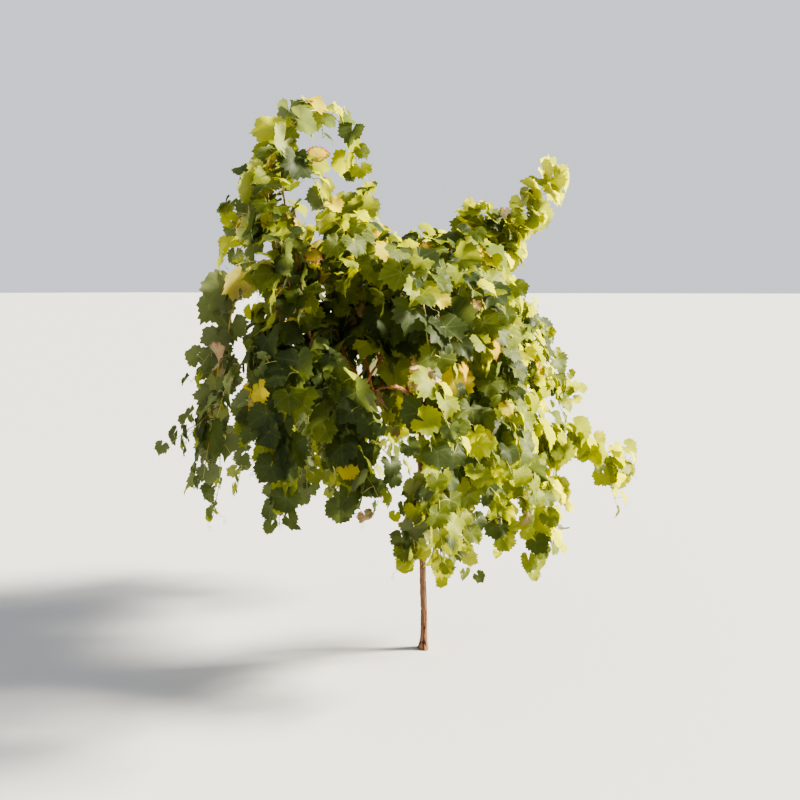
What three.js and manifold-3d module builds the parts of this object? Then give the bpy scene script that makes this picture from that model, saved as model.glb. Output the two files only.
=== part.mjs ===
// A young grapevine that is trained to two sides: a slender trunk, a fork with two arms, short canes on the
// arms, and a sprawling crown of long leafy shoots that climb, arch over and hang down.
// Millimetres, +Z up. The origin is the centre of the flat cut at ground level.
// +X runs along the right arm, and -Y is the front.

import * as THREE from "three";
import { mergeVertices } from "three/addons/utils/BufferGeometryUtils.js";
import Module from "manifold-3d";

const wasm = await Module();
wasm.setup();

const V = (x, y, z) => new THREE.Vector3(x, y, z);
const UP = V(0, 0, 1);
const DEGREE = Math.PI / 180;

// Driving dimensions.
const JOINT_GAP = 0.3; // between a limb and what it carries
const trunk = {
  height: 1160, // flat cut to fork
  footRadius: 14.5,
  forkRadius: 12,
  flare: 12, // added to the radius at the ground
  flareHeight: 40,
  leanX: -46, // shift of the fork from the foot
  leanY: -8,
  leanFrom: 90,
  leanTo: 520,
  wander: 5,
  rootLobes: 0.16, // share of the radius by which the root's lobes stand out
  knots: 0.05, // and the knots along the trunk
  headSwell: 4, // the knob from which the arms fork
  headHeight: 70,
  sides: 10,
  rings: 17,
};
const arm = {
  reach: 760, // along X, from the fork to the tip
  rise: 135, // the arms climb this far above the fork
  climb: 5.5, // how quickly they do
  rootDrop: 30, // the arms leave the trunk this far below its top
  footRadius: 9.5,
  tipRadius: 5.5,
  wander: 9,
  knots: 0.07,
  sides: 7,
  rings: 11,
};
const cane = { footRadius: 6.4, tipRadius: 4.6, sides: 5 };
const shoot = {
  step: 150, // between the corners of a shoot
  footRadius: 5.4, // of the corners of its three-sided section
  sideRadius: 4.2,
  tipRadius: 2.8,
  stemLength: 60, // one stem carries all the shoots of a mass
  zigzag: 6, // degrees, to the left and right by turns
  jitter: 9, // degrees, of each shoot's heading and rise
  reachJitter: 0.06,
  steepest: -88, // degrees, of a hanging shoot
  sample: 30, // between the points that stand for it in space
  tries: 40,
};
const leaf = {
  spacing: 86, // along a shoot
  first: 40,
  blade: 128,
  width: 146,
  stalk: 64,
  sizes: [0.82, 1.16], // the smallest and the largest leaf's share of the full size
  roll: 60, // degrees, of a stalk from the open air's side to the left or right by turns
  rollJitter: 35,
  youngest: 0.4, // share of the full size at a shoot's tip
  shrinkFrom: 0.55, // share of the shoot's length
  thickness: 2.8,
  rootShare: 0.32, // half the height of a leaf's root, as a share of the shoot's radius
  widestAt: 0.36, // share of the blade's length
  tries: 23,
  rootVolume: 13, // how much of a leaf may be sunk in its shoot
  jointFaces: 30, // a leaf that folds back through its shoot would add more faces than this
};
const SPACE_MARGIN = 4; // between the spaces of two masses
const LIMB_MARGIN = 6; // between a leaf or a shoot and the skin of a limb
const SHOOT_MARGIN = 24; // between the lines of two masses' shoots
const GROUND_MARGIN = 30;
const LIMB_SAMPLE = 14; // between the points that stand for a limb in space
const MERGE = 1e-3; // corners nearer than this are one corner
const ONE_PLACE = 1e-4;

// Each row is one mass of foliage. limb and at say where it stands: at a share of an arm's reach, or of the
// trunk's height. cane gives the cane under it: heading, rise and length. Headings are in degrees, 0 along
// +X and 90 to the far side, and rises in degrees above level. Its shoots are fanned over spread round its
// heading. rise and reach hold the first shoot's value and the last one's. A shoot bends down by fall between
// the two shares of its length in bend, and turns sideways by turn from foot to tip.
const masses = [
  // The left half: a tall shoot that arches over its end, and curtains of leaves on both sides.
  {
    name: "left_arch", limb: "left", at: 0.96, cane: [120, 66, 200], shoots: 2, spread: 14, turn: -20,
    heading: -4, rise: [92, 108], reach: [1190, 860], bend: [0.4, 1.02], fall: 190,
  },
  {
    name: "left_end", limb: "left", at: 1, shoots: 3, spread: 120, turn: 0,
    heading: 180, rise: [76, 40], reach: [900, 600], bend: [0, 0.6], fall: 150,
  },
  {
    name: "left_top", limb: "left", at: 0.62, cane: [120, 80, 200], shoots: 4, spread: 250, turn: 0,
    heading: 165, rise: [78, 62], reach: [780, 620], bend: [0.3, 1], fall: 110,
  },
  {
    name: "left_front", limb: "left", at: 0.76, cane: [-95, 55, 110], shoots: 3, spread: 60, turn: 0,
    heading: -100, rise: [86, 42], reach: [1500, 900], bend: [0, 0.55], fall: 166,
  },
  {
    name: "left_back", limb: "left", at: 0.68, cane: [92, 55, 110], shoots: 3, spread: -64, turn: 0,
    heading: 95, rise: [84, 44], reach: [1500, 900], bend: [0, 0.55], fall: 164,
  },
  {
    name: "left_inner_front", limb: "left", at: 0.36, cane: [-88, 55, 110], shoots: 3, spread: 60, turn: 0,
    heading: -92, rise: [86, 40], reach: [1450, 850], bend: [0, 0.55], fall: 164,
  },
  {
    name: "left_inner_back", limb: "left", at: 0.3, cane: [88, 55, 110], shoots: 3, spread: -60, turn: 0,
    heading: 88, rise: [86, 42], reach: [1450, 900], bend: [0, 0.55], fall: 164,
  },
  {
    name: "left_inner_top", limb: "left", at: 0.2, cane: [-150, 80, 200], shoots: 4, spread: 250, turn: 0,
    heading: -120, rise: [78, 62], reach: [660, 560], bend: [0.3, 1], fall: 105,
  },
  // The head of the trunk and what hangs from it.
  {
    name: "centre_top", limb: "trunk", at: 0.985, cane: [60, 84, 340], shoots: 4, spread: 260, turn: 0,
    heading: 60, rise: [78, 60], reach: [580, 480], bend: [0.2, 1], fall: 100,
  },
  {
    name: "centre_front", limb: "trunk", at: 0.93, cane: [-100, 30, 100], shoots: 2, spread: 30, turn: -80,
    heading: -62, rise: [-22, -40], reach: [880, 700], bend: [0.2, 0.9], fall: 62,
  },
  {
    name: "centre_back", limb: "trunk", at: 0.95, cane: [85, 45, 110], shoots: 3, spread: 40, turn: 0,
    heading: 88, rise: [80, 20], reach: [1350, 800], bend: [0, 0.55], fall: 150,
  },
  {
    name: "trunk_spray", limb: "trunk", at: 0.68, cane: [-120, 25, 50], shoots: 3, spread: 90, turn: 0,
    heading: -140, rise: [20, -10], reach: [520, 420], bend: [0, 0.6], fall: 86,
  },
  // The right half, which is more open below at the front.
  {
    name: "right_rising", limb: "right", at: 0.14, cane: [-25, 62, 120], shoots: 2, spread: 12, turn: 0,
    heading: -15, rise: [53, 66], reach: [1110, 760], bend: [0, 1], fall: 14,
  },
  {
    name: "right_top", limb: "right", at: 0.46, cane: [70, 80, 190], shoots: 4, spread: 250, turn: 0,
    heading: 60, rise: [78, 62], reach: [680, 600], bend: [0.3, 1], fall: 105,
  },
  {
    name: "right_inner_front", limb: "right", at: 0.24, cane: [-85, 45, 90], shoots: 3, spread: 60, turn: 0,
    heading: -90, rise: [88, 46], reach: [820, 560], bend: [0, 0.5], fall: 160,
  },
  {
    name: "right_drop", limb: "right", at: 0.08, cane: [-95, 18, 120], shoots: 2, spread: -10, turn: 76,
    heading: -84, rise: [-28, -46], reach: [1130, 800], bend: [0, 1], fall: 2,
  },
  {
    name: "right_inner_back", limb: "right", at: 0.34, cane: [86, 55, 110], shoots: 3, spread: -60, turn: 0,
    heading: 84, rise: [86, 42], reach: [1450, 850], bend: [0, 0.55], fall: 164,
  },
  {
    name: "right_front", limb: "right", at: 0.68, cane: [-80, 60, 90], shoots: 3, spread: 60, turn: 0,
    heading: -86, rise: [90, 60], reach: [800, 560], bend: [0, 0.5], fall: 166,
  },
  {
    name: "right_back", limb: "right", at: 0.72, cane: [84, 55, 110], shoots: 3, spread: 60, turn: 0,
    heading: 80, rise: [84, 42], reach: [1400, 850], bend: [0, 0.55], fall: 164,
  },
  {
    name: "right_outer_top", limb: "right", at: 0.86, cane: [20, 76, 180], shoots: 4, spread: 240, turn: 0,
    heading: 10, rise: [78, 62], reach: [700, 600], bend: [0.3, 1], fall: 105,
  },
  {
    name: "right_end", limb: "right", at: 1, shoots: 3, spread: 120, turn: 0,
    heading: 0, rise: [76, 40], reach: [900, 600], bend: [0, 0.6], fall: 150,
  },
];

// Repeatable draws, so that each mass, shoot and leaf grows the same way every time. The seeds of two masses
// are further apart than those of two shoots, and these than those of two leaves.
const SHOOT_SEEDS = { mass: 4000 };
const LEAF_SEEDS = { mass: 5000, shoot: 500 };

function draws(seed) {
  const modulus = 2147483647;
  const factor = 16807;
  let state = (seed * 7919 + 104729) % modulus;
  const next = () => {
    state = (state * factor) % modulus;
    return state / modulus;
  };
  next();
  next();
  return { share: next, around: (reach) => (2 * next() - 1) * reach };
}

const mix = (a, b, share) => a + (b - a) * share;
const smooth = (from, to, x) => {
  const t = Math.min(1, Math.max(0, (x - from) / (to - from)));
  return t * t * (3 - 2 * t);
};
const pointing = (heading, rise) =>
  V(
    Math.cos(heading * DEGREE) * Math.cos(rise * DEGREE),
    Math.sin(heading * DEGREE) * Math.cos(rise * DEGREE),
    Math.sin(rise * DEGREE),
  );

// Solids and meshes.
function solidOf(geometry) {
  const bare = geometry.clone();
  bare.deleteAttribute("normal");
  bare.deleteAttribute("uv");
  const merged = mergeVertices(bare, MERGE);
  return new wasm.Manifold(
    new wasm.Mesh({
      numProp: 3,
      vertProperties: new Float32Array(merged.attributes.position.array),
      triVerts: new Uint32Array(merged.index.array),
    }),
  );
}

function geometryOf(solid) {
  const mesh = solid.getMesh();
  const corners = new Float32Array(mesh.numVert * 3);
  for (let i = 0; i < mesh.numVert; i++) {
    corners.set(mesh.vertProperties.subarray(i * mesh.numProp, i * mesh.numProp + 3), i * 3);
  }
  const geometry = new THREE.BufferGeometry();
  geometry.setAttribute("position", new THREE.BufferAttribute(corners, 3));
  geometry.setIndex(new THREE.BufferAttribute(mesh.triVerts.slice(), 1));
  return geometry;
}

const largestPiece = (solid) =>
  solid.decompose().reduce((a, b) => (b.volume() > a.volume() ? b : a));

// One body without loose scraps, its corners merged.
const settled = (solid) => largestPiece(solidOf(geometryOf(largestPiece(solid))));

// Two corners in one place show that a skin touches itself along a line.
function touchesItself(solid) {
  const mesh = solid.getMesh();
  const places = new Set();
  for (let i = 0; i < mesh.numVert; i++) {
    const corner = mesh.vertProperties.subarray(i * mesh.numProp, i * mesh.numProp + 3);
    places.add(Array.from(corner, (x) => Math.round(x / ONE_PLACE)).join());
  }
  return places.size < mesh.numVert;
}

// A closed skin through rings of points, each ring with the same number of corners.
function skin(rings) {
  const sides = rings[0].length;
  const corners = rings.flat();
  const faces = [];
  for (let i = 0; i + 1 < rings.length; i++) {
    for (let j = 0; j < sides; j++) {
      const a = i * sides + j;
      const b = i * sides + ((j + 1) % sides);
      faces.push(a, b, b + sides, a, b + sides, a + sides);
    }
  }
  const last = (rings.length - 1) * sides;
  for (let j = 1; j + 1 < sides; j++) {
    faces.push(0, j + 1, j);
    faces.push(last, last + j, last + j + 1);
  }
  const geometry = new THREE.BufferGeometry();
  geometry.setAttribute(
    "position",
    new THREE.BufferAttribute(new Float32Array(corners.flatMap((p) => [p.x, p.y, p.z])), 3),
  );
  geometry.setIndex(faces);
  return geometry;
}

// A tapering limb along a line of points. radiusAt(i, angle) is the distance from the line to the skin.
// first is the limb's direction at its foot, and corner is where the first ring's first corner points.
function limbSkin(points, radiusAt, sides, first = null, corner = null) {
  const along = points.map((p, i) =>
    points[Math.min(i + 1, points.length - 1)].clone().sub(points[Math.max(i - 1, 0)]).normalize(),
  );
  if (first) along[0].copy(first);
  let across = corner ?? (Math.abs(along[0].x) > 0.9 ? V(0, 1, 0) : V(1, 0, 0));
  const rings = points.map((p, i) => {
    across = across.clone().addScaledVector(along[i], -across.dot(along[i])).normalize();
    const beside = along[i].clone().cross(across);
    return Array.from({ length: sides }, (_, j) => {
      const angle = (2 * Math.PI * j) / sides;
      const radius = radiusAt(i, angle);
      return p
        .clone()
        .addScaledVector(across, Math.cos(angle) * radius)
        .addScaledVector(beside, Math.sin(angle) * radius);
    });
  });
  return skin(rings);
}

// The trunk leaves the ground upright, leans over and then climbs straight, with a slight wander.
function trunkLine(z) {
  const lean = smooth(trunk.leanFrom, trunk.leanTo, z);
  const wander = trunk.wander * smooth(0, trunk.leanTo, z);
  return V(
    trunk.leanX * lean + wander * Math.sin(z / 95),
    trunk.leanY * lean + wander * Math.cos(z / 140),
    z,
  );
}

function trunkRadius(z, angle) {
  const flare = trunk.flare * Math.exp(-z / trunk.flareHeight);
  const head = trunk.headSwell * smooth(trunk.height - trunk.headHeight, trunk.height, z);
  const rootLobes = 1 + trunk.rootLobes * Math.cos(3 * angle + 0.7) * Math.exp(-z / trunk.flareHeight);
  const knots = 1 + trunk.knots * Math.sin(z / 47 + 2 * Math.sin(angle));
  return (mix(trunk.footRadius, trunk.forkRadius, z / trunk.height) + flare + head) * rootLobes * knots;
}

function trunkSkin(growth = 0) {
  const heights = Array.from({ length: trunk.rings }, (_, i) =>
    trunk.height * Math.pow(i / (trunk.rings - 1), 1.35),
  );
  const line = heights.map(trunkLine);
  const radius = (i, angle) => trunkRadius(heights[i], angle) + growth;
  return limbSkin(line, radius, trunk.sides, UP);
}

// An arm climbs from the head of the trunk and then runs on nearly level.
const armSide = { left: -1, right: 1 };
const fork = trunkLine(trunk.height - arm.rootDrop);

function armLine(side, share) {
  const climb = 1 - Math.exp(-arm.climb * share);
  const wander = arm.wander * Math.min(1, 4 * share);
  return V(
    fork.x + armSide[side] * arm.reach * share,
    fork.y + wander * Math.sin(7 * share + armSide[side]),
    fork.z + (arm.rise + arm.rootDrop) * climb + 0.6 * wander * Math.sin(9.5 * share + 2 * armSide[side]),
  );
}

const armRadius = (share) => mix(arm.footRadius, arm.tipRadius, share);

function armSkin(side, growth = 0) {
  const shares = Array.from({ length: arm.rings }, (_, i) => i / (arm.rings - 1));
  const line = shares.map((share) => armLine(side, share));
  const radius = (i, angle) => armRadius(shares[i]) * (1 + arm.knots * Math.sin(3 * i + angle)) + growth;
  return limbSkin(line, radius, arm.sides);
}

// A cane stands on an arm or on the trunk.
const canePoints = (foot, [heading, rise, length]) => [
  foot,
  foot.clone().addScaledVector(pointing(heading, rise), length),
];

const limbPoint = ({ limb, at }) => (limb === "trunk" ? trunkLine(trunk.height * at) : armLine(limb, at));

// How all limbs lie in space, as points with radii, for leaves to keep clear of.
const limbPoints = [];
const rememberLimb = (points, radiusAt) => {
  for (let i = 0; i + 1 < points.length; i++) {
    const parts = Math.ceil(points[i].distanceTo(points[i + 1]) / LIMB_SAMPLE);
    for (let k = 0; k < parts; k++) {
      const share = (i + k / parts) / (points.length - 1);
      limbPoints.push({ at: points[i].clone().lerp(points[i + 1], k / parts), radius: radiusAt(share) });
    }
  }
};

// A shoot sets out from its stem and bends over under its own weight. The result is its corners.
function shootPoints(mass, index, foot, attempt) {
  const chance = draws(SHOOT_SEEDS.mass * masses.indexOf(mass) + shoot.tries * index + attempt);
  const rank = mass.shoots > 1 ? index / (mass.shoots - 1) : 0;
  const heading = mass.heading + mass.spread * (rank - 0.5) + chance.around(shoot.jitter);
  const rise = mix(...mass.rise, rank) + chance.around(shoot.jitter);
  const reach = mix(...mass.reach, rank) * (1 + chance.around(shoot.reachJitter));
  const steps = Math.round(reach / shoot.step);
  const points = [foot.clone()];
  if (index === 0) points.unshift(mass.foot.clone());
  for (let i = 0; i < steps; i++) {
    const share = (i + 0.5) / steps;
    const zigzag = shoot.zigzag * (i % 2 ? 1 : -1);
    const bent = Math.max(shoot.steepest, rise - mass.fall * smooth(...mass.bend, share));
    const ahead = pointing(heading + mass.turn * share + zigzag, bent + chance.around(shoot.zigzag));
    points.push(points.at(-1).clone().addScaledVector(ahead, reach / steps));
  }
  return points;
}

// The first shoot of a mass is its stem, and the others, which are thinner, are sunk in it.
const shootRadius = (index, share) =>
  mix(index === 0 ? shoot.footRadius : shoot.sideRadius, shoot.tipRadius, share);

// A point and the direction at a distance along a line of points.
function along(points, distance) {
  let left = distance;
  for (let i = 0; i + 1 < points.length; i++) {
    const length = points[i].distanceTo(points[i + 1]);
    if (left <= length || i + 2 === points.length) {
      const ahead = points[i + 1].clone().sub(points[i]).normalize();
      return { at: points[i].clone().addScaledVector(ahead, left), ahead };
    }
    left -= length;
  }
}

const lengthOf = (points) =>
  points.slice(1).reduce((sum, p, i) => sum + p.distanceTo(points[i]), 0);

// A leaf stands on its stalk beside the shoot, turned towards the open air, and its blade hangs. Each
// direction is a sum of these shares and then has the length of 1.
const crownMiddle = 1300;
const openAir = (p) => V(0.3 * p.x, 1.5 * p.y, 0.8 * (p.z - crownMiddle)).normalize();
const stalkShares = { ahead: 0.3, up: 0.2 };
const axisShares = { stalk: 0.45, open: 0.2, up: -0.75, jitter: [0.35, 0.35, 0.35] };
const faceShares = { up: 0.45, jitter: [0.7, 0.5, 0.4] };

function leafFrame(root, ahead, number, size, chance) {
  const jittered = (reaches) => V(...reaches.map((reach) => chance.around(reach)));
  const open = openAir(root);
  const beside = ahead.clone().cross(open).normalize();
  const out = beside.clone().cross(ahead);
  const roll = (number % 2 ? 1 : -1) * (leaf.roll + chance.around(leaf.rollJitter)) * DEGREE;
  const stalk = out
    .multiplyScalar(Math.cos(roll))
    .addScaledVector(beside, Math.sin(roll))
    .addScaledVector(ahead, stalkShares.ahead)
    .addScaledVector(UP, stalkShares.up)
    .normalize();
  const axis = stalk
    .clone()
    .multiplyScalar(axisShares.stalk)
    .addScaledVector(open, axisShares.open)
    .addScaledVector(UP, axisShares.up)
    .add(jittered(axisShares.jitter))
    .normalize();
  const facing = open.clone().addScaledVector(UP, faceShares.up).add(jittered(faceShares.jitter));
  const normal = facing.addScaledVector(axis, -facing.dot(axis)).normalize();
  const bladeFoot = root.clone().addScaledVector(stalk, leaf.stalk * size);
  return { root, stalk, bladeFoot, axis, normal, aside: axis.clone().cross(normal), size };
}

// The leaf's blade is widest near its foot and pointed at its tip.
function bladePoint(frame, length, side) {
  return frame.bladeFoot
    .clone()
    .addScaledVector(frame.axis, leaf.blade * frame.size * length)
    .addScaledVector(frame.aside, 0.5 * leaf.width * frame.size * side);
}

// It is a wedge: its root is a short edge inside the shoot, and where it bends down it is raised to a ridge
// halfway between the upper sides of its two parts.
function leafSkin(frame, shootWidth) {
  const middle = bladePoint(frame, leaf.widestAt, 0);
  const upright = frame.aside.clone().cross(middle.clone().sub(frame.root)).normalize();
  const half = leaf.rootShare * shootWidth;
  const over = frame.root.clone().addScaledVector(upright, half);
  const under = frame.root.clone().addScaledVector(upright, -half);
  const left = bladePoint(frame, leaf.widestAt, -1);
  const right = bladePoint(frame, leaf.widestAt, 1);
  const raised = frame.normal.clone().add(upright).normalize();
  const ridge = middle.addScaledVector(raised, leaf.thickness * frame.size);
  const tip = bladePoint(frame, 1, 0);
  return closedOutward([over, under, left, right, ridge, tip], [
    [0, 2, 4], [0, 4, 3], [4, 2, 5], [4, 5, 3], [1, 3, 2], [3, 5, 2], [0, 1, 2], [0, 3, 1],
  ]);
}

// A solid from corners and faces that all turn the same way round.
function closedOutward(corners, faces) {
  const geometry = new THREE.BufferGeometry();
  geometry.setAttribute(
    "position",
    new THREE.BufferAttribute(new Float32Array(corners.flatMap((p) => [p.x, p.y, p.z])), 3),
  );
  geometry.setIndex(faces.flat());
  const solid = solidOf(geometry);
  if (solid.volume() > 0) return solid;
  geometry.setIndex(faces.flatMap(([a, b, c]) => [a, c, b]));
  return solidOf(geometry);
}

// Points all over a leaf's lobed outline: shares of the blade's length, each with its share of the width.
const leafOutline = [[-0.1, 0.45], [0.12, 0.8], [0.36, 1], [0.6, 0.65], [0.85, 0.25], [1, 0]];
const leafSamples = (frame) =>
  leafOutline.flatMap(([length, width]) =>
    [-1, -0.5, 0, 0.5, 1].map((side) => bladePoint(frame, length, side * width)),
  );

const nearest = (point, points) => {
  let least = Infinity;
  for (const p of points) least = Math.min(least, p.distanceToSquared(point));
  return Math.sqrt(least);
};

// A leaf fits if it is in its own mass's space, the part of the air that is nearer to this mass's shoots
// than to any other's, and clear of the limbs and the ground.
function fits(frame, own, others) {
  return leafSamples(frame).every((p) => {
    if (p.z < GROUND_MARGIN) return false;
    if (nearest(p, own) + SPACE_MARGIN > nearest(p, others)) return false;
    return limbPoints.every((l) => l.at.distanceTo(p) > l.radius + LIMB_MARGIN);
  });
}

// The materials.
const bark = new THREE.MeshStandardMaterial({ color: 0x6b4a36, roughness: 0.9, metalness: 0 });
const caneBark = new THREE.MeshStandardMaterial({ color: 0x8a5a3a, roughness: 0.8, metalness: 0 });
const foliage = new THREE.MeshStandardMaterial({
  color: 0x6f8f2b,
  roughness: 0.6,
  metalness: 0,
  flatShading: true,
});

// The trunk and its arms, which stop just clear of it.
const group = new THREE.Group();
const addNode = (name, solid, material) => {
  const mesh = new THREE.Mesh(geometryOf(settled(solid)), material);
  mesh.name = name;
  group.add(mesh);
};

const trunkSolid = solidOf(trunkSkin());
const trunkRoom = solidOf(trunkSkin(JOINT_GAP));
addNode("trunk", trunkSolid, bark);
rememberLimb(
  Array.from({ length: trunk.rings }, (_, i) => trunkLine((trunk.height * i) / (trunk.rings - 1))),
  (share) => trunkRadius(trunk.height * share, 0),
);

const armRoom = {};
for (const side of ["left", "right"]) {
  const solid = solidOf(armSkin(side)).subtract(trunkRoom);
  addNode(`${side}_arm`, solid, bark);
  armRoom[side] = solidOf(armSkin(side, JOINT_GAP));
  rememberLimb(
    Array.from({ length: arm.rings }, (_, i) => armLine(side, i / (arm.rings - 1))),
    armRadius,
  );
}
const woodRoom = trunkRoom.add(armRoom.left).add(armRoom.right);

// Canes, and where each mass's stem begins.
for (const mass of masses) {
  const foot = limbPoint(mass);
  if (mass.cane) {
    const points = canePoints(foot, mass.cane);
    const radius = (i) => mix(cane.footRadius, cane.tipRadius, i);
    const solid = solidOf(limbSkin(points, radius, cane.sides)).subtract(woodRoom);
    addNode(`${mass.name}_cane`, solid, caneBark);
    rememberLimb(points, (share) => mix(cane.footRadius, cane.tipRadius, share));
    mass.ahead = points.at(-1).clone().sub(points.at(-2)).normalize();
    mass.foot = points.at(-1).clone();
  } else {
    mass.foot = foot;
    mass.ahead = foot.clone().sub(armLine(mass.limb, 1 - 1 / (arm.rings - 1))).normalize();
  }
  mass.foot.addScaledVector(mass.ahead, JOINT_GAP);
  mass.stemTip = mass.foot.clone().addScaledVector(mass.ahead, shoot.stemLength);
}

// Shoots. One that would come too near to a limb or to another mass's shoots grows another way, and one
// that finds no way is left out.
const sampled = (line) =>
  Array.from({ length: Math.ceil(lengthOf(line) / shoot.sample) + 1 }, (_, i) =>
    along(line, Math.min(shoot.sample * i, lengthOf(line))).at,
  );

const standsClear = (line, mass) => {
  const grown = masses.filter((m) => m !== mass && m.skeleton).flatMap((m) => m.skeleton);
  return sampled(line).every((p) => {
    if (p.z < GROUND_MARGIN || nearest(p, grown) < SHOOT_MARGIN) return false;
    if (p.distanceTo(mass.foot) < shoot.stemLength) return true;
    return limbPoints.every((l) => l.at.distanceTo(p) > l.radius + shoot.footRadius + LIMB_MARGIN);
  });
};

const touches = (a, b, allowed) => {
  const [p, q] = [a.box, b.box];
  if ([0, 1, 2].some((k) => p.min[k] > q.max[k] || q.min[k] > p.max[k])) return false;
  return a.solid.intersect(b.solid).volume() > allowed;
};
const boxed = (solid) => ({ solid, box: solid.boundingBox() });

for (const mass of masses) {
  mass.lines = [];
  mass.wood = [];
  for (let i = 0; i < mass.shoots; i++) {
    const start = mass.foot.clone().lerp(mass.stemTip, i === 0 ? 1 : i / mass.shoots);
    for (let attempt = 0; attempt < shoot.tries; attempt++) {
      const line = shootPoints(mass, i, start, attempt);
      if (!standsClear(line, mass)) continue;
      const radius = (k) => shootRadius(i, k / (line.length - 1));
      const first = i === 0 ? mass.ahead : null;
      const twig = solidOf(limbSkin(line, radius, 3, first, openAir(line.at(-1))));
      const joined = mass.fused ? settled(mass.fused.add(twig)) : twig;
      if (touchesItself(joined)) continue;
      mass.fused = joined;
      mass.lines.push({ line, index: i });
      mass.wood.push(boxed(twig));
      break;
    }
  }
  mass.skeleton = mass.lines.flatMap(({ line }) => sampled(line));
}
const wood = masses.flatMap((mass) => mass.wood);

// Foliage: leaves are fused one by one to the shoots of their mass, which stay one solid. A leaf that would
// touch another leaf, another shoot or a limb, or join its shoot badly, is tried another way or left out.
for (const mass of masses) {
  const others = masses.filter((m) => m !== mass).flatMap((m) => m.skeleton);
  const leaves = [];
  mass.lines.forEach(({ line, index }, place) => {
    const length = lengthOf(line);
    for (let number = 0; leaf.first + leaf.spacing * number < length; number++) {
      const distance = leaf.first + leaf.spacing * number;
      const { at, ahead } = along(line, distance);
      const shrink = 1 - (1 - leaf.youngest) * smooth(leaf.shrinkFrom, 1, distance / length);
      for (let attempt = 0; attempt < leaf.tries; attempt++) {
        const chance = draws(
          LEAF_SEEDS.mass * masses.indexOf(mass) + LEAF_SEEDS.shoot * index + leaf.tries * number + attempt,
        );
        const size = shrink * mix(...leaf.sizes, chance.share());
        const frame = leafFrame(at, ahead, number + attempt, size, chance);
        if (!fits(frame, mass.skeleton, others)) continue;
        const blade = boxed(leafSkin(frame, shootRadius(index, distance / length)));
        const sunk = (twig) => (twig === mass.wood[place] ? leaf.rootVolume : 0);
        if (leaves.some((other) => touches(blade, other, 0))) continue;
        if (wood.some((twig) => touches(blade, twig, sunk(twig)))) continue;
        const joined = settled(mass.fused.add(blade.solid));
        if (touchesItself(joined) || joined.numTri() > mass.fused.numTri() + leaf.jointFaces) continue;
        leaves.push(blade);
        mass.fused = joined;
        break;
      }
    }
  });
  addNode(mass.name, mass.fused, foliage);
}

export default group;
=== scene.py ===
import math

import bpy
import numpy as np
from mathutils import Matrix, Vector


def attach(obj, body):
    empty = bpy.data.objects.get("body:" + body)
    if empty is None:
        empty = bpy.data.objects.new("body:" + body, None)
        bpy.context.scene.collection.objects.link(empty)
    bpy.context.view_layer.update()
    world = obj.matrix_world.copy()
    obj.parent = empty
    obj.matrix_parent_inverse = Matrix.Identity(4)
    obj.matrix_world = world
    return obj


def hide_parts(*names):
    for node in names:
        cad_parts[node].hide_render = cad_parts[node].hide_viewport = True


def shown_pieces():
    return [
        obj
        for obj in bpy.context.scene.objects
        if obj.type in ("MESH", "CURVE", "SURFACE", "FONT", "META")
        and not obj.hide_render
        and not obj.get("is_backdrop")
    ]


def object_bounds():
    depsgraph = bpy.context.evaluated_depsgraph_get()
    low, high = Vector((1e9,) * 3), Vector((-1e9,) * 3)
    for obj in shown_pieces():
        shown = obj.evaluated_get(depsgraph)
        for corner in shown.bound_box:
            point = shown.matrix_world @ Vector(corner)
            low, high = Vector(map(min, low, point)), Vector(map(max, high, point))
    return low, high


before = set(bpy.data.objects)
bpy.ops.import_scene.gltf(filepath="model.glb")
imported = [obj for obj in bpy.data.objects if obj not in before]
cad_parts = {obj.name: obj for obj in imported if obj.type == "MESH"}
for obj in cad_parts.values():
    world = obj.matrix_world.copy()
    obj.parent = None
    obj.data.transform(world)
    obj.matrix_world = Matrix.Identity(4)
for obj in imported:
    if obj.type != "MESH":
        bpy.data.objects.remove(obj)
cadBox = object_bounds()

# A young grapevine: trunk, two arms, canes, and a crown of long leafy shoots that climb, arch over and hang.
# The shoots grow by the rule of the CAD source, in its millimetres, and all is put in metres at the end.
millimetre = 0.001
degree = math.pi / 180
up = np.array((0.0, 0.0, 1.0))

trunk = dict(height=1160, footRadius=14.5, forkRadius=12, flare=12, flareHeight=40, leanX=-46, leanY=-8,
             leanFrom=90, leanTo=520, wander=5, wanderSteps=(95, 140), rootLobes=0.16, lobeCount=3,
             lobeTurn=0.7, knots=0.05, knotStep=47, headSwell=4, headHeight=70, rings=17)
arm = dict(reach=760, rise=135, climb=5.5, rootDrop=30, footRadius=9.5, tipRadius=5.5, wander=9,
           wanderTurns=(7, 9.5), wanderRise=0.6, knots=0.07, knotTurns=30, rings=11)
cane = dict(footRadius=6.4, tipRadius=4.6)
shoot = dict(step=150, skin=5.4, stemLength=60, zigzag=6, jitter=9, reachJitter=0.06, steepest=-88, sample=30,
             tries=40, seeds=4000)
jointGap = 0.3
limbMargin = 6
shootMargin = 24
floorMargin = 30
limbSample = 14

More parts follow.
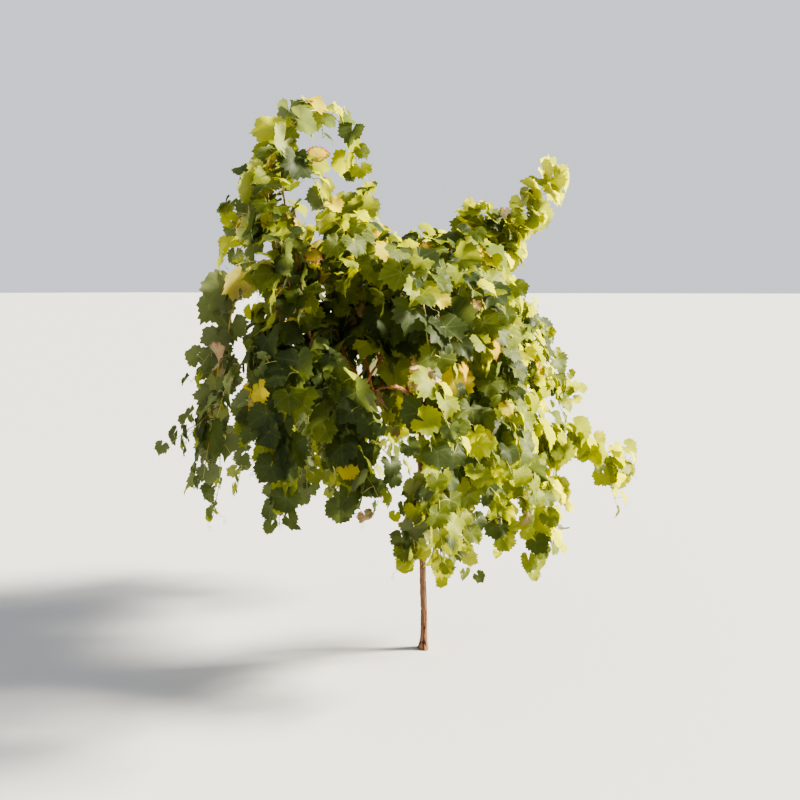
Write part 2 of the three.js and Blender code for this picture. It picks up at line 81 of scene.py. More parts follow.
# One row for each mass of foliage, as in the CAD source: where it stands, its cane, how many shoots it has
# and how they are fanned, how they set out, and how they bend over.
massFields = "name limb at cane shoots spread turn heading rise reach bend fall".split()
massRows = [
    ("left_arch", "left", 0.96, (120, 66, 200), 2, 14, -20, -4, (92, 108), (1190, 860), (0.4, 1.02), 190),
    ("left_end", "left", 1, None, 3, 120, 0, 180, (76, 40), (900, 600), (0, 0.6), 150),
    ("left_top", "left", 0.62, (120, 80, 200), 4, 250, 0, 165, (78, 62), (780, 620), (0.3, 1), 110),
    ("left_front", "left", 0.76, (-95, 55, 110), 3, 60, 0, -100, (86, 42), (1500, 900), (0, 0.55), 166),
    ("left_back", "left", 0.68, (92, 55, 110), 3, -64, 0, 95, (84, 44), (1500, 900), (0, 0.55), 164),
    ("left_inner_front", "left", 0.36, (-88, 55, 110), 3, 60, 0, -92, (86, 40), (1450, 850), (0, 0.55), 164),
    ("left_inner_back", "left", 0.3, (88, 55, 110), 3, -60, 0, 88, (86, 42), (1450, 900), (0, 0.55), 164),
    ("left_inner_top", "left", 0.2, (-150, 80, 200), 4, 250, 0, -120, (78, 62), (660, 560), (0.3, 1), 105),
    ("centre_top", "trunk", 0.985, (60, 84, 340), 4, 260, 0, 60, (78, 60), (580, 480), (0.2, 1), 100),
    ("centre_front", "trunk", 0.93, (-100, 30, 100), 2, 30, -80, -62, (-22, -40), (880, 700), (0.2, 0.9), 62),
    ("centre_back", "trunk", 0.95, (85, 45, 110), 3, 40, 0, 88, (80, 20), (1350, 800), (0, 0.55), 150),
    ("trunk_spray", "trunk", 0.68, (-120, 25, 50), 3, 90, 0, -140, (20, -10), (520, 420), (0, 0.6), 86),
    ("right_rising", "right", 0.14, (-25, 62, 120), 2, 12, 0, -15, (53, 66), (1110, 760), (0, 1), 14),
    ("right_top", "right", 0.46, (70, 80, 190), 4, 250, 0, 60, (78, 62), (680, 600), (0.3, 1), 105),
    ("right_inner_front", "right", 0.24, (-85, 45, 90), 3, 60, 0, -90, (88, 46), (820, 560), (0, 0.5), 160),
    ("right_drop", "right", 0.08, (-95, 18, 120), 2, -10, 76, -84, (-28, -46), (1130, 800), (0, 1), 2),
    ("right_inner_back", "right", 0.34, (86, 55, 110), 3, -60, 0, 84, (86, 42), (1450, 850), (0, 0.55), 164),
    ("right_front", "right", 0.68, (-80, 60, 90), 3, 60, 0, -86, (90, 60), (800, 560), (0, 0.5), 166),
    ("right_back", "right", 0.72, (84, 55, 110), 3, 60, 0, 80, (84, 42), (1400, 850), (0, 0.55), 164),
    ("right_outer_top", "right", 0.86, (20, 76, 180), 4, 240, 0, 10, (78, 62), (700, 600), (0.3, 1), 105),
    ("right_end", "right", 1, None, 3, 120, 0, 0, (76, 40), (900, 600), (0, 0.6), 150),
]
masses = [dict(zip(massFields, row)) for row in massRows]


class Draws:
    # Repeatable draws, as in the CAD source: each state is the last one times a factor, modulo a prime.
    modulus = 2147483647
    factor = 16807
    seedFactor = 7919
    seedOffset = 104729

    def __init__(self, seed):
        self.state = (seed * self.seedFactor + self.seedOffset) % self.modulus
        self.share()
        self.share()

    def share(self):
        self.state = self.state * self.factor % self.modulus
        return self.state / self.modulus

    def around(self, reach):
        return (2 * self.share() - 1) * reach


def unit(v):
    return v / np.maximum(np.linalg.norm(v, axis=-1, keepdims=True), 1e-12)


def mix(a, b, share):
    return a + (b - a) * share


def smooth(low, high, x):
    t = np.clip((x - low) / (high - low), 0, 1)
    return t * t * (3 - 2 * t)


def pointing(heading, rise):
    h, r = heading * degree, rise * degree
    return np.array((math.cos(h) * math.cos(r), math.sin(h) * math.cos(r), math.sin(r)))


def nearest(point, points):
    return math.sqrt(((points - point) ** 2).sum(axis=1).min())


def lengthOf(line):
    return float(np.linalg.norm(np.diff(line, axis=0), axis=1).sum())


def along(line, distances):
    # Points at distances along a line of points.
    at = np.concatenate(([0], np.cumsum(np.linalg.norm(np.diff(line, axis=0), axis=1))))
    return np.stack([np.interp(distances, at, line[:, k]) for k in range(3)], axis=-1)


def directionAt(line, distances, reach=4):
    # The line's direction at those distances, from the points a little before and after.
    return unit(along(line, distances + reach) - along(line, distances - reach))


# The limbs of the CAD source, for one height or share or for a whole array of them.
def trunkLine(z):
    # (lean x, lean y) x smooth rise with height + wander x (sin z, cos z).
    z = np.asarray(z, float)
    stepX, stepY = trunk["wanderSteps"]
    lean = smooth(trunk["leanFrom"], trunk["leanTo"], z)
    wander = trunk["wander"] * smooth(0, trunk["leanTo"], z)
    x = trunk["leanX"] * lean + wander * np.sin(z / stepX)
    y = trunk["leanY"] * lean + wander * np.cos(z / stepY)
    return np.stack((x, y, z), axis=-1)


def trunkRadius(z, angle):
    # (taper + flare at the foot + swelling at the head) x root lobes x knots.
    foot = np.exp(-z / trunk["flareHeight"])
    head = trunk["headSwell"] * smooth(trunk["height"] - trunk["headHeight"], trunk["height"], z)
    lobes = 1 + trunk["rootLobes"] * np.cos(trunk["lobeCount"] * angle + trunk["lobeTurn"]) * foot
    knots = 1 + trunk["knots"] * np.sin(z / trunk["knotStep"] + 2 * np.sin(angle))
    taper = mix(trunk["footRadius"], trunk["forkRadius"], z / trunk["height"])
    return (taper + trunk["flare"] * foot + head) * lobes * knots


fork = trunkLine(trunk["height"] - arm["rootDrop"])
armSide = {"left": -1, "right": 1}


def armLine(side, share):
    # Out from the fork, a climb that levels off, and a wander from side to side and up and down.
    share = np.asarray(share, float)
    sign = armSide[side]
    turnsY, turnsZ = arm["wanderTurns"]
    climb = (arm["rise"] + arm["rootDrop"]) * (1 - np.exp(-arm["climb"] * share))
    wander = arm["wander"] * np.minimum(1, 4 * share)
    x = fork[0] + sign * arm["reach"] * share
    y = fork[1] + wander * np.sin(turnsY * share + sign)
    z = fork[2] + climb + arm["wanderRise"] * wander * np.sin(turnsZ * share + 2 * sign)
    return np.stack((x, y, z), axis=-1)


def armRadius(share):
    return mix(arm["footRadius"], arm["tipRadius"], share)


def caneRadius(share):
    return mix(cane["footRadius"], cane["tipRadius"], share)


limbPoints = []


def rememberLimb(points, radiusAt):
    # Points with radii along a limb, for shoots and leaves to keep clear of.
    for i in range(len(points) - 1):
        parts = math.ceil(np.linalg.norm(points[i + 1] - points[i]) / limbSample)
        for k in range(parts):
            share = (i + k / parts) / (len(points) - 1)
            limbPoints.append((*mix(points[i], points[i + 1], k / parts), radiusAt(share)))


rememberLimb(trunkLine(np.linspace(0, trunk["height"], trunk["rings"])),
             lambda share: trunkRadius(trunk["height"] * share, 0))
for side in armSide:
    rememberLimb(armLine(side, np.linspace(0, 1, arm["rings"])), armRadius)

for mass in masses:
    onTrunk = mass["limb"] == "trunk"
    foot = trunkLine(trunk["height"] * mass["at"]) if onTrunk else armLine(mass["limb"], mass["at"])
    if mass["cane"]:
        heading, rise, length = mass["cane"]
        tip = foot + pointing(heading, rise) * length
        mass["canePoints"] = np.array((foot, tip))
        rememberLimb(mass["canePoints"], caneRadius)
        mass["ahead"] = unit(tip - foot)
        mass["foot"] = tip + mass["ahead"] * jointGap
    else:
        mass["ahead"] = unit(foot - armLine(mass["limb"], 1 - 1 / (arm["rings"] - 1)))
        mass["foot"] = foot + mass["ahead"] * jointGap
    mass["stemTip"] = mass["foot"] + mass["ahead"] * shoot["stemLength"]
limbPoints = np.array(limbPoints)


def sampled(line):
    length = lengthOf(line)
    count = math.ceil(length / shoot["sample"]) + 1
    return along(line, np.minimum(shoot["sample"] * np.arange(count), length))


def shootPoints(mass, massNumber, index, foot, attempt):
    # The corners of a shoot, which sets out from its stem and bends over under its own weight.
    chance = Draws(shoot["seeds"] * massNumber + shoot["tries"] * index + attempt)
    rank = index / (mass["shoots"] - 1) if mass["shoots"] > 1 else 0
    heading = mass["heading"] + mass["spread"] * (rank - 0.5) + chance.around(shoot["jitter"])
    rise = mix(*mass["rise"], rank) + chance.around(shoot["jitter"])
    reach = mix(*mass["reach"], rank) * (1 + chance.around(shoot["reachJitter"]))
    steps = math.floor(reach / shoot["step"] + 0.5)
    points = [mass["foot"], foot] if index == 0 else [foot]
    for i in range(steps):
        share = (i + 0.5) / steps
        zigzag = shoot["zigzag"] * (1 if i % 2 else -1)
        bent = max(shoot["steepest"], rise - mass["fall"] * smooth(*mass["bend"], share))
        ahead = pointing(heading + mass["turn"] * share + zigzag, bent + chance.around(shoot["zigzag"]))
        points.append(points[-1] + ahead * reach / steps)
    return np.array(points)


def standsClear(line, mass, grown):
    for p in sampled(line):
        if p[2] < floorMargin or (len(grown) and nearest(p, grown) < shootMargin):
            return False
        if np.linalg.norm(p - mass["foot"]) < shoot["stemLength"]:
            continue
        gaps = np.linalg.norm(limbPoints[:, :3] - p, axis=1) - limbPoints[:, 3]
        if gaps.min() <= shoot["skin"] + limbMargin:
            return False
    return True


grown = np.empty((0, 3))
for massNumber, mass in enumerate(masses):
    mass["lines"] = []
    for index in range(mass["shoots"]):
        start = mix(mass["foot"], mass["stemTip"], 1 if index == 0 else index / mass["shoots"])
        for attempt in range(shoot["tries"]):
            line = shootPoints(mass, massNumber, index, start, attempt)
            if standsClear(line, mass, grown):
                mass["lines"].append((index, line))
                break
    mass["skeleton"] = np.concatenate([sampled(line) for _, line in mass["lines"]])
    grown = np.concatenate((grown, mass["skeleton"]))
print("shoots:", sum(len(mass["lines"]) for mass in masses))


# Surfaces. Each is a grid of points, rings by sides, that is turned into one mesh of quads.
def transport(ahead, corner):
    # A direction across the line that is carried along it without twisting.
    across = np.empty_like(ahead)
    current = corner
    for i, direction in enumerate(ahead):
        current = unit(current - direction * current.dot(direction))
        across[i] = current
    return across


def tubeFaces(ringCount, sides, vs):
    # Faces between rings, and each corner's place in the pattern: u round the tube and v along it.
    i, j = np.meshgrid(np.arange(ringCount - 1), np.arange(sides), indexing="ij")
    k = (j + 1) % sides
    faces = np.stack((i * sides + j, i * sides + k, (i + 1) * sides + k, (i + 1) * sides + j), axis=-1)
    u0, u1 = j / sides, (j + 1) / sides
    uv = np.stack((np.stack((u0, vs[i]), -1), np.stack((u1, vs[i]), -1),
                   np.stack((u1, vs[i + 1]), -1), np.stack((u0, vs[i + 1]), -1)), axis=2)
    return faces.reshape(-1, 4), uv.reshape(-1, 4, 2)


def withEnds(values):
    # A tube's values for each ring, and again for the rings of no size that close it.
    return np.concatenate((values[:1], values, values[-1:]))


def tubePart(points, radii, sides, vs):
    # Rings round a line: point + radius x (cos angle x across + sin angle x beside), closed at both ends.
    ahead = unit(np.gradient(points, axis=0))
    across = transport(ahead, np.array((0.0, 1.0, 0.0) if abs(ahead[0][0]) > 0.9 else (1.0, 0.0, 0.0)))
    beside = np.cross(ahead, across)
    angle = 2 * math.pi * np.arange(sides) / sides
    spokes = across[:, None] * np.cos(angle)[None, :, None] + beside[:, None] * np.sin(angle)[None, :, None]
    radii = np.broadcast_to(np.asarray(radii, float).reshape(len(points), -1), (len(points), sides))
    rings = points[:, None] + spokes * radii[..., None]
    foot, tip = (np.broadcast_to(rings[k].mean(axis=0), (1, sides, 3)) for k in (0, -1))
    rings = np.concatenate((foot, rings, tip))
    faces, uv = tubeFaces(len(rings), sides, withEnds(vs))
    return rings.reshape(-1, 3), faces, uv


def joined(parts):
    # Many (points, faces, uv) as one.
    offsets = np.cumsum([0] + [len(p) for p, _, _ in parts[:-1]])
    points = np.concatenate([p for p, _, _ in parts])
    faces = np.concatenate([f + o for (_, f, _), o in zip(parts, offsets)])
    return points, faces, np.concatenate([uv for _, _, uv in parts])


ownMap = "OFBake"


def addPiece(name, points, faces, uv, material, slotName, stoodFor, attributes=None):
    mesh = bpy.data.meshes.new(name)
    mesh.vertices.add(len(points))
    mesh.vertices.foreach_set("co", (points * millimetre).astype(np.float32).ravel())
    mesh.loops.add(faces.size)
    mesh.loops.foreach_set("vertex_index", faces.astype(np.int32).ravel())
    mesh.polygons.add(len(faces))
    mesh.polygons.foreach_set("loop_start", np.arange(0, faces.size, faces.shape[1], dtype=np.int32))
    mesh.update(calc_edges=True)
    mesh.uv_layers.new(name=ownMap).data.foreach_set("uv", uv.astype(np.float32).ravel())
    for key, values in (attributes or {}).items():
        mesh.attributes.new(key, "FLOAT", "POINT").data.foreach_set("value", values.astype(np.float32))
    mesh.shade_smooth()
    mesh.materials.append(material)
    piece = bpy.data.objects.new(name, mesh)
    bpy.context.collection.objects.link(piece)
    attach(piece, "root")
    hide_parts(*stoodFor)
    return piece


# Node materials.
def newMaterial(name):
    material = bpy.data.materials.new(name)
    material.use_nodes = True
    nodes, links = material.node_tree.nodes, material.node_tree.links
    nodes.clear()

    def feed(socket, value):
        if isinstance(value, bpy.types.NodeSocket):
            links.new(value, socket)
        else:
            socket.default_value = value

    def add(kind, inputs=None, **settings):
        node = nodes.new("ShaderNode" + kind)
        for key, value in settings.items():
            setattr(node, key, value)
        for key, value in (inputs or {}).items():
            feed(node.inputs[key], value)
        return node

    def calc(operation, *values):
        node = add("Math", operation=operation)
        for socket, value in zip(node.inputs, values):
            feed(socket, value)
        return node.outputs[0]

    def blend(factor, a, b, mode="MIX"):
        node = add("Mix", data_type="RGBA", blend_type=mode)
        for socket, value in zip((node.inputs[0], node.inputs[6], node.inputs[7]), (factor, a, b)):
            feed(socket, value)
        return node.outputs[2]

    def band(value, low, high, start=0.0, end=1.0):
        node = add("MapRange", {0: value, 1: low, 2: high, 3: start, 4: end}, interpolation_type="SMOOTHSTEP")
        return node.outputs[0]

    return material, add, calc, blend, band


def rgb(r, g, b):
    return (r, g, b, 1.0)


def roundVector(add, calc, turns, length):
    # A tube's own pattern coordinates as a cylinder's, so that the pattern has no seam.
    uv = add("SeparateXYZ", {0: add("UVMap", uv_map=ownMap).outputs[0]})
    angle = calc("MULTIPLY", uv.outputs[0], 2 * math.pi)
    x = calc("MULTIPLY", calc("COSINE", angle), turns)
    y = calc("MULTIPLY", calc("SINE", angle), turns)
    z = calc("MULTIPLY", uv.outputs[1], length)
    return uv.outputs[1], add("CombineXYZ", {0: x, 1: y, 2: z}).outputs[0]


# Bark. Bands are low and high, and then the values there where they aren't 0 and 1.
barkLook = dict(streaks=2.0, patches=0.35, creviceShadeBand=(0.12, 0.62), ridges=(0.5, 0.95), patchBand=(0.38, 0.66),
                greyBand=(0.42, 0.7, 0.0, 0.85), paleBand=(0.44, 0.28, 0.0, 0.5), grey=rgb(0.38, 0.33, 0.3),
                bump=0.7, bumpDepth=0.0016, specular=0.2)


def barkMaterial(name, creviceShade, face, worn, turns, length, roughness):
    # Colour follows the relief, from painted shade in the crevices to worn ridges, with grey patches and long
    # fibres.
    material, add, calc, blend, band = newMaterial(name)
    cylinder = roundVector(add, calc, turns, length)[1]
    depth = add("Attribute", attribute_name="relief").outputs["Fac"]
    streaks = add("TexNoise", {"Vector": cylinder, "Scale": barkLook["streaks"], "Detail": 7.0,
                               "Roughness": 0.7}).outputs["Fac"]
    patches = add("TexNoise", {"Vector": cylinder, "Scale": barkLook["patches"],
                               "Detail": 4.0}).outputs["Fac"]
    # Painted shade: the colour darkens to near black with the depth of the cracks.
    colour = blend(band(depth, *barkLook["creviceShadeBand"]), creviceShade, face)
    rubbed = calc("MULTIPLY", band(depth, *barkLook["ridges"]), band(patches, *barkLook["patchBand"]))
    colour = blend(rubbed, colour, worn)
    grey = blend(1.0, colour, barkLook["grey"], "MULTIPLY")
    colour = blend(band(streaks, *barkLook["greyBand"]), colour, grey)
    colour = blend(band(streaks, *barkLook["paleBand"]), colour, worn)
    height = calc("ADD", streaks, calc("MULTIPLY", depth, 0.5))
    bump = add("Bump", {"Height": height, "Strength": barkLook["bump"],
                        "Distance": barkLook["bumpDepth"]}).outputs[0]
    shader = add("BsdfPrincipled", {"Base Color": colour, "Roughness": roughness, "Normal": bump,
                                    "Specular IOR Level": barkLook["specular"]})
    add("OutputMaterial", {0: shader.outputs[0]})
    return material


# Trunk, arms and canes with stringy bark. Relief, in millimetres, is a sum of parts stretched along the limb:
# strips with cracks between them, fibres, fine grain, and shreds of peeling bark that stand off.
trunkBark = dict(rings=520, sides=110, twist=0.35, weave=0.05, bends=(3, 26), seed=11, sunk=0.5,
                 strips=1.9, fibres=0.9, grain=0.5, shreds=1.3,
                 cells=((8, 15), (24, 48), (52, 200), (15, 24)), scarHeight=13, scarWidth=0.5,
                 scars=((402, 1.1, 4.0), (655, 3.9, 4.5), (905, 2.2, 3.5)))
armBark = dict(rings=250, sides=52, twist=0.4, weave=0.06, bends=(2, 20), seed=31, leftSeed=38, sunk=0.5,
               strips=1.0, fibres=0.5, grain=0.25, shreds=0.7,
               cells=((5, 12), (15, 44), (26, 150), (9, 20)))
caneBark = dict(rings=54, sides=18, twist=0.1, weave=0.02, bends=(2, 4), seed=51, sunk=0.5,
                strips=0.14, fibres=0.16, grain=0.05, shreds=0.1, cells=((5, 3), (9, 8), (9, 20), (4, 4)),
                collar=0.45, collarLength=9, buds=((0.45, 0.6), (0.8, 3.7)), budHeight=1.6, budLength=4,
                budRing=0.35)


def ringNoise(u, v, cellsRound, cellsAlong, seed):
    # Random values on a grid that closes round the limb, blended smoothly between its points.
    table = np.random.default_rng(seed).random((cellsRound, cellsAlong + 2))
    x, y = u * cellsRound, np.clip(v, 0, 1) * cellsAlong
    i, j = np.floor(x).astype(int), np.floor(y).astype(int)
    fx, fy = smooth(0, 1, x - i), smooth(0, 1, y - j)
    a, b = i % cellsRound, (i + 1) % cellsRound
    low = mix(table[a, j], table[b, j], fx)
    high = mix(table[a, j + 1], table[b, j + 1], fx)
    return mix(low, high, fy)


def barkRelief(u, v, spec):
    # The relief, and a shade for the material: 0 in the deepest cracks, where shade is painted, and about 1
    # on the ridges.
    turned = u + spec["twist"] * v + spec["weave"] * (ringNoise(u, v, *spec["bends"], spec["seed"] + 4) - 0.5)
    strips, fibres, grain, shreds = (ringNoise(turned, v, *cells, spec["seed"] + k)
                                     for k, cells in enumerate(spec["cells"]))
    strips = smooth(0, 0.3, np.abs(2 * strips - 1))
    fibres = 1 - np.abs(2 * fibres - 1)
    shreds = smooth(0.6, 0.68, shreds)
    depths = (spec["strips"], spec["fibres"], spec["grain"], spec["shreds"])
    heights = sum(depth * part for depth, part in zip(depths, (strips, fibres, grain, shreds)))
    return heights - spec["sunk"] * sum(depths), heights / (0.85 * sum(depths))


def limbGrid(spec):
    u = np.arange(spec["sides"])[None, :] / spec["sides"]
    v = np.linspace(0, 1, spec["rings"])[:, None]
    return u, v, *barkRelief(*np.broadcast_arrays(u, v), spec)


def barkLimb(name, line, radiusAt, spec, material, node):
    u, v, relief, shade = limbGrid(spec)
    radii = radiusAt(v, 2 * math.pi * u) + relief
    points, faces, uv = tubePart(line, radii, spec["sides"], v[:, 0])
    points[:, 2] = np.maximum(points[:, 2], 0)
    addPiece(name, points, faces, uv, material, "bark", [node], {"relief": withEnds(shade).ravel()})


# The first colour of each bark is the painted shade of its cracks.
oldBark = barkMaterial("old_bark", rgb(0.040, 0.024, 0.016), rgb(0.25, 0.135, 0.082), rgb(0.40, 0.30, 0.235),
                       4.0, 8.0, 0.9)
armBarkColour = barkMaterial("arm_bark", rgb(0.045, 0.025, 0.016), rgb(0.27, 0.14, 0.08),
                             rgb(0.40, 0.28, 0.2), 2.6, 6.0, 0.86)
caneBarkColour = barkMaterial("cane_bark", rgb(0.15, 0.055, 0.028), rgb(0.34, 0.15, 0.065),
                              rgb(0.46, 0.26, 0.13), 1.6, 2.0, 0.6)


def trunkSurface(v, angle):
    # The trunk's radius and a bulge at each scar of a lost twig.
    z = v * trunk["height"]
    radii = trunkRadius(z, angle)
    for height, side, bulge in trunkBark["scars"]:
        off = np.abs((angle - side + math.pi) % (2 * math.pi) - math.pi)
        near = -((z - height) / trunkBark["scarHeight"]) ** 2 - (off / trunkBark["scarWidth"]) ** 2
        radii = radii + bulge * np.exp(near)
    return radii


def armSurface(v, angle):
    return armRadius(v) * (1 + arm["knots"] * np.sin(arm["knotTurns"] * v + angle))


barkLimb("trunk_bark", trunkLine(np.linspace(0, trunk["height"], trunkBark["rings"])), trunkSurface,
         trunkBark, oldBark, "trunk")
for side, seed in (("left", armBark["leftSeed"]), ("right", armBark["seed"])):
    barkLimb(side + "_arm_bark", armLine(side, np.linspace(0, 1, armBark["rings"])), armSurface,
             dict(armBark, seed=seed), armBarkColour, side + "_arm")


def canePart(mass, seed):
    # A cane has a collar at its foot and two buds, one on each side by turns.
    foot, tip = mass["canePoints"]
    length = np.linalg.norm(tip - foot)
    u, v, relief, shade = limbGrid(dict(caneBark, seed=seed))
    outOfLimb = (armRadius(mass["at"]) if mass["limb"] != "trunk" else trunk["forkRadius"]) / length
    collar = np.exp(-np.maximum(0, v - outOfLimb) * length / caneBark["collarLength"])
    buds = sum(caneBark["budHeight"] * np.exp(-((v - at) * length / caneBark["budLength"]) ** 2)
               * (caneBark["budRing"] + np.maximum(0, np.cos(2 * math.pi * u + side)) ** 3)
               for at, side in caneBark["buds"])
    radii = caneRadius(v) * (1 + caneBark["collar"] * collar) + relief + buds
    return tubePart(mix(foot, tip, v), radii, caneBark["sides"], v[:, 0]), withEnds(shade).ravel()


caned = [mass for mass in masses if mass["cane"]]
caneParts, caneShades = zip(*(canePart(mass, caneBark["seed"] + i) for i, mass in enumerate(caned)))
addPiece("canes_bark", *joined(caneParts), caneBarkColour, "cane",
         [mass["name"] + "_cane" for mass in caned], {"relief": np.concatenate(caneShades)})
print("limbs done")


# Green shoots, smooth through their corners, thicker at the nodes where the leaves stand.
stem = dict(footRadius=4.1, sideRadius=3.5, tipRadius=1.1, sides=7, node=0.32, nodeLength=3.2,
            nodeRings=(-1.4, 0, 1.4), kink=2.0, ringStep=20, first=30, spacing=44, crowding=1.25, beyond=9,
            pointed=14, bluntness=0.3)
# Shoots that keep large leaves to the end, set closer and turned to all sides.
strong = {"right_rising": dict(young=1.0, tip=0.75, spacing=34, jitter=(2.6, 0.9, 0.45))}
crownMiddle = np.array((0.0, 0.0, 1300.0))
openShares = np.array((0.3, 1.5, 0.8))


def openAir(p):
    # The way from the middle of the crown to the open air.
    return unit(openShares * (p - crownMiddle))


def smoothLine(corners, parts=14):
    # A cubic curve through the corners. At each one it runs parallel to the line between its neighbours.
    padded = np.concatenate((corners[:1] * 2 - corners[1:2], corners, corners[-1:] * 2 - corners[-2:-1]))
    p0, p1, p2, p3 = (padded[k:len(padded) - 3 + k, None] for k in range(4))
    t = (np.arange(parts) / parts)[None, :, None]
    curve = 0.5 * (2 * p1 + (p2 - p0) * t + (2 * p0 - 5 * p1 + 4 * p2 - p3) * t ** 2
                   + (3 * p1 - p0 - 3 * p2 + p3) * t ** 3)
    return np.concatenate((curve.reshape(-1, 3), corners[-1:]))


def nodesOf(length, first, spacing):
    # The distances of the nodes from the foot: length x (1 - (1 - n/count)^crowding), closer near the tip.
    count = max(1, round((length - first) / spacing))
    return first + (length - first) * (1 - (1 - np.arange(count) / count) ** stem["crowding"])


def ringPlaces(line, nodes):
    # Distances of a shoot's rings: even steps, and a few rings at each node.
    length = lengthOf(line)
    near = np.concatenate([nodes + offset * stem["nodeLength"] for offset in stem["nodeRings"]])
    distances = np.unique(np.concatenate((np.arange(0, length, stem["ringStep"]), near, [length])))
    return distances[(distances >= 0) & (distances <= length)]


def kinkedLine(line, nodes, kink):
    # The line steps to left and right by turns, at its nodes.
    distances = ringPlaces(line, nodes)
    centre = along(line, distances)
    ahead = unit(np.gradient(centre, axis=0))
    beside = unit(np.cross(ahead, openAir(centre[len(centre) // 2])))
    turns = np.interp(distances, nodes, np.where(np.arange(len(nodes)) % 2, 1.0, -1.0))
    start = np.minimum(1, distances / stem["spacing"])
    return centre + beside * (kink * turns * start)[:, None]


def shootPart(line, nodes, footRadius, tipRadius, sides, kink=0):
    # radius = taper x (1 + a bump at each node), and a point at the tip.
    length = lengthOf(line)
    distances = ringPlaces(line, nodes)
    centre = kinkedLine(line, nodes, kink) if kink else along(line, distances)
    bumps = np.exp(-((distances[:, None] - nodes[None, :]) / stem["nodeLength"]) ** 2).sum(axis=1)
    radii = mix(footRadius, tipRadius, distances / length) * (1 + stem["node"] * bumps)
    radii = radii * np.minimum(1, stem["bluntness"] + (length - distances) / stem["pointed"])
    return tubePart(centre, radii, sides, distances / length)


shoots = []
for massNumber, mass in enumerate(masses):
    for index, corners in mass["lines"]:
        line = smoothLine(corners)
        nodes = nodesOf(lengthOf(line), stem["first"], strong.get(mass["name"], stem)["spacing"])
        centre = kinkedLine(line, nodes, stem["kink"])
        footRadius = stem["footRadius"] if index == 0 else stem["sideRadius"]
        shoots.append(dict(mass=mass, massNumber=massNumber, index=index, nodes=nodes, line=centre,
                           length=lengthOf(centre), footRadius=footRadius, lastLeaf=0.0))


# Leaves by the source's rule: a leaf stands on its stalk beside the shoot, turned towards the open air, and
# its blade hangs. They are smaller and closer than the solid ones, and side shoots carry small ones.
leaf = dict(midrib=82, stalk=62, sizes=(0.7, 1.14), young=0.66, tip=0.4, tipFrom=0.94, shrinkFrom=0.45,
            roll=62, rollJitter=40, tries=14, choices=3, apart=20, spaceSlack=45, boxSlack=25, seeds=5000,
            shootSeeds=500, most=12000)
stalkShares = dict(ahead=0.3, up=0.2)
axisShares = dict(stalk=0.45, open=0.2, up=-0.75, jitter=(0.35, 0.35, 0.35))
faceShares = dict(up=0.4, jitter=(1.5, 0.7, 0.45))
usual = dict(young=leaf["young"], tip=leaf["tip"], jitter=faceShares["jitter"])
lateral = dict(share=(0.0, 0.78), length=(60, 270), shortness=1.5, stalk=0.7, ahead=0.5, up=0.15,
               droop=0.5, first=36, spacing=42, size=(0.46, 0.76), radius=1.9, tipRadius=0.8, kink=0.8,
               sides=5, points=9, beyond=4, seed=77, leafSeed=4321, leafSeedStep=31)


def jittered(chance, reaches):
    return np.array([chance.around(reach) for reach in reaches])


def leafFrame(root, ahead, number, size, chance, faceJitter):
    # Where a leaf stands, the way of its stalk and its midrib, and the side that it turns to the light.
    outward = openAir(root)
    beside = unit(np.cross(ahead, outward))
    out = np.cross(beside, ahead)
    roll = (1 if number % 2 else -1) * (leaf["roll"] + chance.around(leaf["rollJitter"])) * degree
    stalk = unit(out * math.cos(roll) + beside * math.sin(roll) + ahead * stalkShares["ahead"]
                 + up * stalkShares["up"])
    axis = unit(stalk * axisShares["stalk"] + outward * axisShares["open"] + up * axisShares["up"]
                + jittered(chance, axisShares["jitter"]))
    facing = outward + up * faceShares["up"] + jittered(chance, faceJitter)
    normal = unit(facing - axis * facing.dot(axis))
    return dict(root=root, stalk=stalk, foot=root + stalk * leaf["stalk"] * size, axis=axis, normal=normal,
                aside=np.cross(axis, normal), size=size)


# Points of a blade, as shares of its midrib along it and beside it. The last one is its middle.
samplePlaces = np.array([(1, 0), (0.55, 0.6), (0.55, -0.6), (-0.1, 0.7), (-0.1, -0.7), (-0.45, 0.3),
                         (-0.45, -0.3), (0.3, 0)])


def leafSamples(grownLeaf):
    reach = leaf["midrib"] * grownLeaf["size"]
    return grownLeaf["foot"] + reach * (samplePlaces[:, :1] * grownLeaf["axis"]
                                        + samplePlaces[:, 1:] * grownLeaf["aside"])


def distancesTo(samples, points):
    return np.sqrt(((samples[:, None] - points[None]) ** 2).sum(axis=2))


lowest = np.array(cadBox[0]) / millimetre - leaf["boxSlack"]
highest = np.array(cadBox[1]) / millimetre + leaf["boxSlack"]
leaves = []
farAway = 1e6
leafMiddles = np.full((leaf["most"], 3), farAway)


def room(grownLeaf, own, others):
    # How far the leaf's middle is from any other's, or 0 unless the leaf is in its mass's own space, inside
    # the solids' box, and clear of the limbs and the floor.
    samples = leafSamples(grownLeaf)
    if samples[:, 2].min() < floorMargin or (samples < lowest).any() or (samples > highest).any():
        return 0
    apart = nearest(samples[-1], leafMiddles[:len(leaves) + 1])
    if apart < leaf["apart"] * grownLeaf["size"]:
        return 0
    if (distancesTo(samples, limbPoints[:, :3]) - limbPoints[:, 3]).min() < limbMargin:
        return 0
    toOwn, toOthers = (distancesTo(samples, points).min(axis=1) for points in (own, others))
    return apart if (toOwn < toOthers + leaf["spaceSlack"]).all() else 0


def growLeaf(line, distance, number, size, seed, space, faceJitter):
    # Of the first few ways that fit, the one that leaves the most room.
    root, ahead = along(line, distance), directionAt(line, distance)
    ways = []
    for attempt in range(leaf["tries"]):
        chance = Draws(seed + attempt)
        drawnSize = size * mix(*leaf["sizes"], chance.share())
        grownLeaf = leafFrame(root, ahead, number + attempt, drawnSize, chance, faceJitter)
        apart = room(grownLeaf, *space)
        if apart:
            ways.append((apart, attempt, grownLeaf))
        if len(ways) == leaf["choices"]:
            break
    if not ways:
        return None
    grownLeaf = max(ways)[2]
    leafMiddles[len(leaves)] = leafSamples(grownLeaf)[-1]
    leaves.append(grownLeaf)
    return grownLeaf


